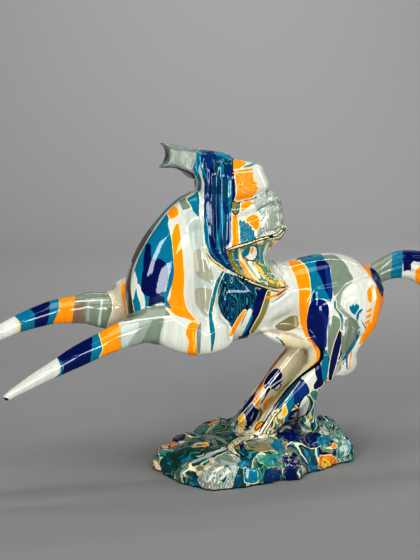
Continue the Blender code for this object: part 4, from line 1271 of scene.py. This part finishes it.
        ("orange", None, [(121, 287), (125.5, 282.5), (132, 283), (134, 318), (127, 319), (123, 304)]),
        ("sage", "cream", [
            (73, 297), (85, 291), (100, 287), (107, 291), (112, 301), (112, 311), (108, 322), (105, 332),
            (98, 330), (87, 324), (71, 324), (71, 312),
        ]),
        ("umber", None, [(74, 303), (84.5, 302.5), (83.5, 312), (85, 322), (71.5, 321)]),
        ("silver", None, [(88.5, 302.5, 1.6), (87.5, 320, 2.0)]),
        ("pale", None, [(102, 301, 1.2), (99, 325, 1.6)]),
        # Painted highlight: a white line along the ridge of the far foreleg's knee
        ("white", None, [(75, 301.5, 0.6), (92, 300.5, 0.7), (110, 299.5, 0.5)]),
        ("orange", None, [(59, 297), (66, 293), (75, 294), (74, 305), (71, 324), (53, 325), (59, 310)]),
        ("teal", None, [(48, 300), (58, 296), (59, 308), (54, 324), (43, 326), (49, 312)]),
        ("navy", None, [(28, 306), (48, 299), (50, 312), (46, 325), (35, 328), (35, 314)]),
        ("teal", None, [(13, 314), (28, 307), (35, 312), (35, 328), (20, 335), (20, 322)]),
        ("yellow", None, [(16, 319, 0.8), (19.5, 325, 0.9), (19.5, 333, 0.8)]),
    ],
}
# Places where many lacquers were dragged together while wet, under the pours: palette and outlines
MARBLED = {
    "deep": [
        [
            (222, 273), (230, 274), (240, 277), (250, 281), (262, 286), (271, 288), (267, 297), (263, 309),
            (259, 320), (252, 331), (245, 339), (238, 341), (241, 326), (245, 312), (238, 320), (233, 328),
            (228, 321), (221, 314), (218, 303), (218, 288),
        ],
        [
            (199, 150), (212, 150), (222, 153), (235, 157), (233, 170), (234, 182), (222, 186),
            (205, 184), (201, 166),
        ],
    ],
    "fold": [
        [
            (227, 252), (240, 246.5), (258, 241.5), (272, 238), (275, 242), (268, 251), (266, 257),
            (273, 267), (284, 280), (288.5, 287), (284, 290), (272, 288), (255, 284), (240, 277),
            (232, 267),
        ],
    ],
    "hock": [
        [
            (320, 345), (323, 356), (319, 366), (307, 374), (297, 383), (287, 393), (277, 406), (269, 418),
            (262, 438), (290, 442), (322, 438), (336, 410), (330, 385), (345, 362), (340, 345),
        ],
        [(254, 394), (262, 402), (259, 416), (256, 440), (236, 440), (222, 436), (236, 412), (246, 400)],
    ],
    "lobe": [
        [
            (253, 199), (262, 193), (272, 187), (282, 194), (287, 206), (286, 218), (283, 230),
            (270, 233), (258, 238), (258, 229), (262, 216), (256, 208),
        ],
    ],
    "silver": [
        [
            (197, 479), (207, 466), (218, 456), (227, 451.5), (238, 455), (241, 463), (236, 475),
            (231, 489), (211, 490), (201, 487),
        ],
    ],
    "jade": [
        [
            (318, 425), (327, 420), (338, 424), (350, 430), (358, 443), (358, 460), (345, 465),
            (336, 460), (335, 443),
        ],
    ],
}
# Pressed all over with small dents while the lacquer set; the dents also get painted glints and painted
# shade
HAMMERED = {
    "muzzle": [
        (170, 150), (180, 151), (196, 153), (195, 163), (191, 170), (184, 167), (171, 163), (169, 157),
    ],
    "mane": [
        (235, 174), (244, 173), (253, 172), (254, 180), (258, 187), (253, 197), (243, 199.5),
        (236, 201),
    ],
    "mane drop": [(240, 221), (246, 222), (253, 230), (256, 239), (248, 242), (241, 243)],
}
# A pour's distance is kept this far outside it, so that neighbours in one coat never touch
COAT_MARGIN = 3.0
UNPOURED = -10.0
# Two pours cross where they share more than this of the smaller one
CROSSING = 0.12
# The rim that a pour left is stored beside its colour
RIM_CODES = {None: 0.0, "ink": 0.25, "cream": 0.75}


def rounded(points, closed, steps=4):
    """A smooth curve through the points, tighter at the corners of an outline than along a run."""
    points = np.array(points, float)
    slack = 0.28 if closed else 0.5
    if closed:
        padded = np.concatenate([points[-1:], points, points[:2]])
    else:
        padded = np.concatenate([points[:1], points, points[-1:]])
    curve = []
    for before, start, end, after in zip(padded, padded[1:], padded[2:], padded[3:]):
        leaving, arriving = slack * (end - before), slack * (after - start)
        for t in np.arange(steps) / steps:
            curve.append(
                (2 * t**3 - 3 * t**2 + 1) * start + (t**3 - 2 * t**2 + t) * leaving
                + (3 * t**2 - 2 * t**3) * end + (t**3 - t**2) * arriving
            )
    if not closed:
        curve.append(points[-1])
    return np.array(curve)


def depth_in_run(spots, run):
    """How far each spot lies inside a run of lacquer, or below zero how far outside."""
    best = np.full(len(spots), -np.inf)
    for start, end in zip(run, run[1:]):
        step = end[:2] - start[:2]
        share = np.clip((spots - start[:2]) @ step / (step @ step), 0, 1)
        away = np.linalg.norm(spots - (start[:2] + share[:, None] * step), axis=1)
        best = np.maximum(best, start[2] + share * (end[2] - start[2]) - away)
    return best


def depth_in_outline(spots, outline):
    """How far each spot lies inside an outline, or below zero how far outside."""
    nearest = np.full(len(spots), np.inf)
    inside = np.zeros(len(spots), bool)
    for start, end in zip(outline, np.roll(outline, -1, axis=0)):
        step = end - start
        share = np.clip((spots - start) @ step / (step @ step), 0, 1)
        nearest = np.minimum(nearest, np.linalg.norm(spots - (start + share[:, None] * step), axis=1))
        if end[1] != start[1]:
            beside = spots[:, 0] < start[0] + (spots[:, 1] - start[1]) * step[0] / step[1]
            inside ^= ((start[1] > spots[:, 1]) != (end[1] > spots[:, 1])) & beside
    return np.where(inside, nearest, -nearest)


def spread(spots, where, points):
    """The vertices that a pour reaches or nearly reaches, and how deep each lies in it."""
    run = len(points[0]) == 3
    line = rounded(points, closed=not run)
    margin = COAT_MARGIN + (line[:, 2].max() if run else 0)
    low, high = line[:, :2].min(axis=0) - margin, line[:, :2].max(axis=0) + margin
    near = np.where(where & (spots > low).all(axis=1) & (spots < high).all(axis=1))[0]
    depth = depth_in_run(spots[near], line) if run else depth_in_outline(spots[near], line)
    kept = depth > -COAT_MARGIN
    return near[kept], depth[kept]


def lacquer(name):
    """A lacquer's colour as the shader wants it."""
    shares = [int(LACQUERS[name][at:at + 2], 16) / 255 for at in (1, 3, 5)]
    return [s / 12.92 if s < 0.04045 else ((s + 0.055) / 1.055) ** 2.4 for s in shares]


def lay_out_pours(mesh):
    """For each pour: the vertices it reaches, its depth at each, and its lacquer with its rim's code."""
    places = read_places(mesh)
    spots, own = picture_places(places)
    far = (own > 0.5) & (places[:, 1] > 0.004)
    anywhere = np.ones(len(places), bool)
    reach = {"far foreleg": far, "far hind leg": anywhere, "rock": places[:, 2] < ROCK_HEIGHT + 0.008}
    laid = []
    for part, pours in POURS.items():
        for name, rim, points in pours:
            which, depth = spread(spots, reach.get(part, ~far), points)
            laid.append((which, depth, lacquer(name) + [RIM_CODES[rim]]))
    return laid


def sort_into_coats(laid, vertices):
    """A coat for each pour: no two in a coat touch, and a pour goes over the earlier ones it crosses."""
    coat_of = []
    touching = np.zeros((len(laid), vertices), bool)
    wet = np.zeros((len(laid), vertices), bool)
    for number, (which, depth, _) in enumerate(laid):
        touching[number, which] = True
        wet[number, which[depth > 0]] = True
        under = -1
        blocked = set()
        for earlier in range(number):
            if touching[earlier, which].any():
                blocked.add(coat_of[earlier])
                shared = wet[earlier, which[depth > 0]].sum()
                smaller = min(max(1, (depth > 0).sum()), max(1, wet[earlier].sum()))
                if shared > CROSSING * smaller:
                    under = max(under, coat_of[earlier])
        coat = under + 1
        while coat in blocked:
            coat += 1
        coat_of.append(coat)
    return coat_of


def store_depth(mesh, name, depths):
    """Keeps a depth for each vertex, by a name that the finish reads."""
    mesh.attributes.new(name + "_depth", "FLOAT", "POINT").data.foreach_set("value", depths)


def pour_all(mesh):
    """Stores the depth and the lacquer of every coat, and gives back how many coats there are."""
    laid = lay_out_pours(mesh)
    coat_of = sort_into_coats(laid, len(mesh.vertices))
    coats = max(coat_of) + 1
    for coat in range(coats):
        depths = np.full(len(mesh.vertices), UNPOURED)
        tints = np.zeros((len(mesh.vertices), 4))
        for (which, depth, tint), its_coat in zip(laid, coat_of):
            if its_coat == coat:
                depths[which] = np.maximum(depths[which], depth)
                tints[which] = tint
        store_depth(mesh, f"coat_{coat}", depths)
        tinted = mesh.attributes.new(f"coat_{coat}_tint", "FLOAT_COLOR", "POINT")
        tinted.data.foreach_set("color", tints.ravel())
    return coats


def mark_zone(mesh, name, outlines):
    """Stores how deep each vertex lies in a set of outlines."""
    spots, _ = picture_places(read_places(mesh))
    anywhere = np.ones(len(spots), bool)
    depths = np.full(len(spots), UNPOURED)
    for outline in outlines:
        which, depth = spread(spots, anywhere, outline)
        depths[which] = np.maximum(depths[which], depth)
    store_depth(mesh, name, depths)


def mark_rock(mesh):
    """Stores how far each vertex lies below the line where the legs meet the rock, in millimetres."""
    store_depth(mesh, "rock", (ROCK_HEIGHT + 0.002 - read_places(mesh)[:, 2]) * 1000)


coats = pour_all(casting_mesh)
for palette, outlines in MARBLED.items():
    mark_zone(casting_mesh, palette, outlines)
mark_zone(casting_mesh, "hammered", HAMMERED.values())
mark_rock(casting_mesh)


# How fine each pattern of the lacquer is, in lumps to a metre, and how ragged
GRAIN = {
    "edge": (70.0, 3.0),       # how the edge of every pour wanders
    "ground": (9.0, 2.0),      # clouds of bone in the white
    "flow": (22.0, 1.0),       # the marbling of the rock
    "region": (15.0, 1.0),     # where the rock is green and where it is blue
    "patch": (33.0, 2.0),      # where the rock's veins show
    "tear": (40.0, 1.5),       # how the pours are torn on the rock
    "ripple": (330.0, 2.0),
    "gloss": (40.0, 3.0),
}
DENTS_TO_METRE = 620.0
EDGE_SOFTNESS = 0.2        # in picture units
# How the gloss takes the light
GLOSS = {"Specular IOR Level": 0.03, "Coat Weight": 1.0, "Coat Roughness": 0.03, "Coat IOR": 1.42}


def shade(tree, kind, inputs=(), **settings):
    return add_node(tree, "ShaderNode" + kind, inputs, **settings)


def maths(tree, operation, *values):
    return shade(tree, "Math", enumerate(values), operation=operation).outputs[0]


def ease(tree, value, start, end):
    """0 before start and 1 after end."""
    inputs = [("Value", value), ("From Min", start), ("From Max", end)]
    return shade(tree, "MapRange", inputs, interpolation_type="SMOOTHSTEP").outputs["Result"]


def blend(tree, share, under, over, way="MIX"):
    inputs = [(0, share), (6, under), (7, over)]
    return shade(tree, "Mix", inputs, data_type="RGBA", blend_type=way).outputs[2]


def opaque(name):
    """A lacquer's colour, with nothing showing through."""
    return (*lacquer(name), 1)


def stored_depth(tree, name):
    return shade(tree, "Attribute", attribute_name=name + "_depth").outputs["Fac"]


def lay(tree, depth, under, over):
    """One finish over another, with a crisp edge where its depth is 0."""
    return blend(tree, ease(tree, depth, -EDGE_SOFTNESS, EDGE_SOFTNESS), under, over)


def clouds(tree, place, scale, detail):
    """A soft random value over the place, between 0 and 1."""
    inputs = [("Vector", place), ("Scale", scale), ("Detail", detail)]
    return shade(tree, "TexNoise", inputs).outputs["Fac"]


def wander(tree, place, grain, reach):
    """How far an edge strays to either side at each place."""
    centred = maths(tree, "SUBTRACT", clouds(tree, place, *GRAIN[grain]), 0.5)
    return maths(tree, "MULTIPLY", centred, reach)


def stripes(tree, value, pitch, edge, core=0.05):
    """1 along the cores of even stripes of a value, and 0 further out than their edges."""
    within = maths(tree, "FRACT", maths(tree, "MULTIPLY", value, pitch))
    away = maths(tree, "ABSOLUTE", maths(tree, "SUBTRACT", within, 0.5))
    return ease(tree, away, edge, core)


def stretched(tree, place, scales, turn=(0, 0, 0)):
    """The place turned and stretched, so that a pattern on it runs along one way."""
    inputs = [("Vector", place), ("Rotation", turn), ("Scale", scales)]
    return shade(tree, "Mapping", inputs).outputs["Vector"]


def warped(tree, place, scale, amount):
    """The place pushed about by a noise, which folds a pattern on it over itself."""
    sway = shade(tree, "TexNoise", [("Vector", place), ("Scale", scale), ("Detail", 1.0)]).outputs["Color"]
    centred = shade(tree, "VectorMath", [(0, sway), (1, (0.5, 0.5, 0.5))], operation="SUBTRACT").outputs[0]
    pushed = shade(tree, "VectorMath", [(0, centred), ("Scale", amount)], operation="SCALE").outputs[0]
    return shade(tree, "VectorMath", [(0, place), (1, pushed)], operation="ADD").outputs[0]


def bands(tree, value, names, start=0.25, end=0.75):
    """Even bands of the named lacquers as a value goes from start to end."""
    ramp_node = shade(tree, "ValToRGB", [("Fac", value)])
    ramp_node.color_ramp.interpolation = "CONSTANT"
    stops = ramp_node.color_ramp.elements
    stops[0].position, stops[1].position = 0.0, 1.0
    for number, name in enumerate(names):
        at = start + (end - start) * number / len(names)
        stop = stops[0] if number == 0 else stops.new(at)
        stop.color = opaque(name)
    stops[len(stops) - 1].color = opaque(names[-1])
    return ramp_node.outputs["Color"]


# The order in which the lacquers lie side by side in each kind of marbling
PALETTES = {
    "green": [
        "forest", "green", "forest", "khaki", "forest", "green", "sage", "cream", "forest",
        "petrol", "green", "forest", "khaki", "forest", "pale", "green", "forest", "ink", "green",
    ],
    "blue": [
        "navy", "teal", "petrol", "navy", "pale", "forest", "teal", "cream", "petrol", "navy",
        "green", "khaki", "navy", "teal", "cream", "forest", "petrol", "teal", "navy",
    ],
    "deep": [
        "petrol", "ink", "teal", "ink", "petrol", "ink", "teal", "navy", "petrol", "ink", "green",
        "petrol", "navy", "teal", "ink", "pale", "petrol", "ink",
    ],
    "fold": [
        "sage", "olive", "sage", "cream", "green", "sage", "khaki", "yellow", "sage", "olive",
        "pale", "green", "sage", "cream", "teal", "sage", "olive", "cream",
    ],
    "hock": [
        "teal", "navy", "white", "teal", "green", "cream", "navy", "white", "petrol", "teal",
        "sand", "olive", "cream", "blue", "white", "forest", "pale", "navy",
    ],
    "lobe": [
        "pewter", "pale", "white", "silver", "pale", "pewter", "white", "silver", "sage", "white",
        "pale", "silver", "pewter", "white", "silver", "pale", "umber", "white", "silver",
    ],
    "silver": [
        "pale", "sage", "silver", "white", "pewter", "silver", "white", "sage", "silver", "pale",
        "khaki", "silver", "white", "pewter", "pale", "green", "silver", "white",
    ],
    "jade": [
        "green", "pale", "teal", "pale", "green", "sage", "pale", "teal", "green", "pale", "forest",
        "green", "pale", "teal", "green", "pale", "khaki", "green",
    ],
    "vein": ["ink", "khaki", "cream", "forest", "teal", "petrol", "khaki"],
}
# How each palette was dragged: its slope in the side view in degrees, scale, and share of its length kept
DRAGGED = {
    "deep": (-52, 115.0, 0.20),
    "fold": (-42, 52.0, 0.14),
    "lobe": (24, 90.0, 0.12),
    "hock": (40, 52.0, 0.25),
    "silver": (50, 95.0, 0.22),
    "jade": (-15, 60.0, 0.35),
}


def rock_flow(tree, place):
    """The place folded over itself twice, and a slow value over it whose even steps look like marbling."""
    folded = warped(tree, warped(tree, place, 20.0, 0.050), 55.0, 0.013)
    return folded, clouds(tree, folded, *GRAIN["flow"])


def rock_marble(tree, place, folded, flow):
    """Green, khaki and cream towards the head, and navy, teal and cream towards the tail."""
    region = clouds(tree, folded, *GRAIN["region"])
    tailward = shade(tree, "SeparateXYZ", [(0, place)]).outputs["X"]
    bluer = maths(tree, "ADD", region, maths(tree, "MULTIPLY", tailward, 1.6))
    green = bands(tree, flow, PALETTES["green"])
    blue = bands(tree, flow, PALETTES["blue"])
    return blend(tree, maths(tree, "GREATER_THAN", bluer, 0.52), green, blue)


def dragged_marble(tree, place, palette):
    """Lacquers dragged one way into torn streaks."""
    slope, scale, kept = DRAGGED[palette]
    along = stretched(tree, place, (1.0, 1.0, kept), (0, math.radians(slope), 0))
    folded = warped(tree, along, 45.0, 0.012)
    return bands(tree, clouds(tree, folded, scale, 1.5), PALETTES[palette])


def lay_marbling(tree, colour, place, folded, flow, wobble):
    """The marbled zones and the rock's marbling, with ragged edges."""
    for name in ("deep", "fold", "lobe", "hock", "rock", "silver", "jade"):
        rocky = name == "rock"
        marble = rock_marble(tree, place, folded, flow) if rocky else dragged_marble(tree, place, name)
        ragged = maths(tree, "MULTIPLY", wobble, 3.0 if rocky else 1.5)
        colour = lay(tree, maths(tree, "ADD", stored_depth(tree, name), ragged), colour, marble)
    return colour


def lay_coats(tree, colour, coats, wobble, on_rock, patchy, vein_colour):
    """The coats in turn with their rims, which come and go on the rock, where thin rings show too."""
    rim_patches = maths(tree, "MULTIPLY", ease(tree, patchy, 0.44, 0.56), 1.1)
    thinned = maths(tree, "MULTIPLY", on_rock, maths(tree, "SUBTRACT", rim_patches, 1.0))
    for coat in range(coats):
        depth = maths(tree, "ADD", stored_depth(tree, f"coat_{coat}"), wobble)
        tint = shade(tree, "Attribute", attribute_name=f"coat_{coat}_tint")
        at_rim = ease(tree, maths(tree, "ADD", depth, thinned), -1.1, -0.8)
        for name in ("ink", "cream"):
            has_rim = maths(tree, "COMPARE", tint.outputs["Alpha"], RIM_CODES[name], 0.15)
            colour = blend(tree, maths(tree, "MULTIPLY", at_rim, has_rim), colour, opaque(name))
        colour = lay(tree, depth, colour, tint.outputs["Color"])
        rings = maths(tree, "MULTIPLY", stripes(tree, depth, 0.27, 0.10), ease(tree, patchy, 0.47, 0.50))
        rings = maths(tree, "MULTIPLY", rings, ease(tree, depth, 0.9, 1.1))
        colour = blend(tree, maths(tree, "MULTIPLY", rings, on_rock), colour, vein_colour)
    return colour


def vein_rock(tree, colour, flow, on_rock, patchy, vein_colour):
    """Thin veins along the rock's marbling, and a painted shadow line in ink where it meets the table."""
    veins = maths(tree, "MULTIPLY", stripes(tree, flow, 19.0, 0.09), ease(tree, patchy, 0.50, 0.53))
    colour = blend(tree, maths(tree, "MULTIPLY", veins, on_rock), colour, vein_colour)
    # Painted contact shadow: ink along the foot of the rock
    painted_contact_shadow = ease(tree, stored_depth(tree, "rock"), 43.8, 45.2)
    return blend(tree, painted_contact_shadow, colour, opaque("ink"))


def streak(tree, colour, place):
    """Faint upright streaks through every colour."""
    upright = warped(tree, stretched(tree, place, (210, 210, 26)), 1.5, 0.8)
    tone = maths(tree, "ADD", maths(tree, "MULTIPLY", clouds(tree, upright, 1.0, 2.0), 0.34), 0.83)
    grey = shade(tree, "CombineXYZ", [(0, tone), (1, tone), (2, tone)]).outputs[0]
    return blend(tree, 1.0, colour, grey, "MULTIPLY")


def hammer(tree, colour, dents, hammered):
    """Painted glints, white on the dents' edges, and painted shade, ink in their middles."""
    # Painted glints on the edges of the dents
    edges = maths(tree, "MULTIPLY", hammered, ease(tree, dents, 0.60, 0.80))
    colour = blend(tree, maths(tree, "MULTIPLY", edges, 0.30), colour, opaque("white"))
    # Painted shade in the middles of the dents
    painted_dent_shade = maths(tree, "MULTIPLY", hammered, ease(tree, dents, 0.26, 0.08))
    return blend(tree, maths(tree, "MULTIPLY", painted_dent_shade, 0.42), colour, opaque("ink"))


def gloss_over(tree, colour, place, dents, hammered):
    """A clear wet gloss over the colour, slightly rippled, and dented where it was hammered."""
    ripple = maths(tree, "MULTIPLY", clouds(tree, place, *GRAIN["ripple"]), 0.06)
    dented = maths(tree, "MULTIPLY", maths(tree, "MULTIPLY", dents, hammered), 0.55)
    height = maths(tree, "ADD", ripple, dented)
    relief = [("Height", height), ("Strength", 0.6), ("Distance", 0.0009)]
    bump = shade(tree, "Bump", relief).outputs["Normal"]
    rough = ease(tree, clouds(tree, place, *GRAIN["gloss"]), -1.2, 2.4)
    surface = tree.nodes["Principled BSDF"]
    looks = {"Base Color": colour, "Roughness": rough, "Normal": bump, "Coat Normal": bump}
    for socket, value in looks.items():
        tree.links.new(value, surface.inputs[socket])
    for socket, value in GLOSS.items():
        surface.inputs[socket].default_value = value


def finish_lacquer(material, coats):
    """The white ground, what was dragged and poured over it, and the gloss."""
    material.use_nodes = True
    tree = material.node_tree
    place = shade(tree, "TexCoord").outputs["Object"]
    wobble = wander(tree, place, "edge", 1.5)
    ground = ease(tree, clouds(tree, place, *GRAIN["ground"]), 0.42, 0.68)
    colour = blend(tree, ground, opaque("white"), opaque("bone"))
    folded, flow = rock_flow(tree, place)
    colour = lay_marbling(tree, colour, place, folded, flow, wobble)
    on_rock = ease(tree, stored_depth(tree, "rock"), -4.0, 4.0)
    patchy = clouds(tree, folded, *GRAIN["patch"])
    vein_colour = bands(tree, patchy, PALETTES["vein"], 0.38, 0.62)
    torn = wander(tree, folded, "tear", maths(tree, "MULTIPLY", on_rock, 15.0))
    wobble = maths(tree, "ADD", wobble, torn)
    colour = lay_coats(tree, colour, coats, wobble, on_rock, patchy, vein_colour)
    colour = vein_rock(tree, colour, flow, on_rock, patchy, vein_colour)
    colour = streak(tree, colour, place)
    dents = shade(tree, "TexVoronoi", [("Vector", place), ("Scale", DENTS_TO_METRE)]).outputs["Distance"]
    hammered = ease(tree, stored_depth(tree, "hammered"), -0.2, 0.6)
    # Painted glints and painted shade on the dents
    colour = hammer(tree, colour, dents, hammered)
    gloss_over(tree, colour, place, dents, hammered)


finish_lacquer(lacquer_finish, coats)
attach(casting, "root")
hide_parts("horse_on_rock")


# The stage, which is no part of the work: a sheet of pale grey paper that lies under it and sweeps up
# behind, soft boxes of light round it and one on the paper behind, and the camera.
def add_camera():
    camera = bpy.data.objects.new("camera", bpy.data.cameras.new("camera"))
    camera.data.lens = SIGHT_LENS
    camera.data.sensor_width = SIGHT_FILM
    camera.location = EYE
    camera.rotation_euler = BACKWARD.to_track_quat("Z", "Y").to_euler()
    bpy.context.scene.collection.objects.link(camera)
    bpy.context.scene.camera = camera


def add_floor():
    """A sheet of pale paper that lies flat and sweeps up behind."""
    front, bend_at, bend_radius, top = -4.0, 1.9, 1.2, 4.0
    half_width, under_rock = 5, 0.0002
    profile = [(front, 0.0), (bend_at, 0.0)]
    for turn in np.linspace(0, math.pi / 2, 25)[1:]:
        profile.append((bend_at + bend_radius * math.sin(turn), bend_radius * (1 - math.cos(turn))))
    profile.append((bend_at + bend_radius, top))
    bm = bmesh.new()
    left = [bm.verts.new((-half_width, y, z - under_rock)) for y, z in profile]
    right = [bm.verts.new((half_width, y, z - under_rock)) for y, z in profile]
    for near, far in zip(range(len(profile) - 1), range(1, len(profile))):
        bm.faces.new((left[near], right[near], right[far], left[far]))
    mesh = bpy.data.meshes.new("paper sweep")
    bm.to_mesh(mesh)
    bm.free()
    mesh.shade_smooth()
    paper = bpy.data.objects.new("paper_sweep", mesh)
    material = bpy.data.materials.new("floor_paper")
    material.use_nodes = True
    shader = material.node_tree.nodes["Principled BSDF"]
    shader.inputs["Base Color"].default_value = (0.29, 0.29, 0.29, 1)
    shader.inputs["Roughness"].default_value = 0.8
    mesh.materials.append(material)
    bpy.context.scene.collection.objects.link(paper)


def add_light(name, place, aim, size, power):
    light = bpy.data.lights.new(name, "AREA")
    light.shape = "RECTANGLE"
    light.size, light.size_y = size
    light.energy = power
    lamp = bpy.data.objects.new(name, light)
    lamp.location = place
    lamp.rotation_euler = (Vector(aim) - Vector(place)).to_track_quat("-Z", "Y").to_euler()
    bpy.context.scene.collection.objects.link(lamp)


add_camera()
add_floor()
add_light("left softbox", (-1.25, -1.5, 0.95), (-0.05, 0, 0.2), (0.4, 0.8), 12)
add_light("top softbox", (-0.2, -0.3, 1.8), (0, 0, 0.2), (1.2, 0.8), 9.6)
add_light("front strip", (0.5, -2.2, 0.75), (0, 0, 0.2), (1.3, 0.2), 8.7)
add_light("low front softbox", (-0.45, -2.0, 0.3), (0.0, 0, 0.12), (0.5, 0.5), 10)
add_light("right softbox", (1.7, -0.7, 0.7), (0, 0, 0.2), (0.5, 1.0), 6.5)
add_light("wall light", (1.0, 0.9, 2.2), (1.0, 3.1, 0.7), (2.4, 0.4), 58)
world = bpy.data.worlds.new("studio")
bpy.context.scene.world = world
world.use_nodes = True
background = world.node_tree.nodes["Background"]
background.inputs["Color"].default_value = (0.5, 0.5, 0.5, 1)
background.inputs["Strength"].default_value = 0.16
# The lacquer's darks and lights are far apart in the photograph
bpy.context.scene.view_settings.view_transform = "Standard"
bpy.context.scene.view_settings.look = "High Contrast"
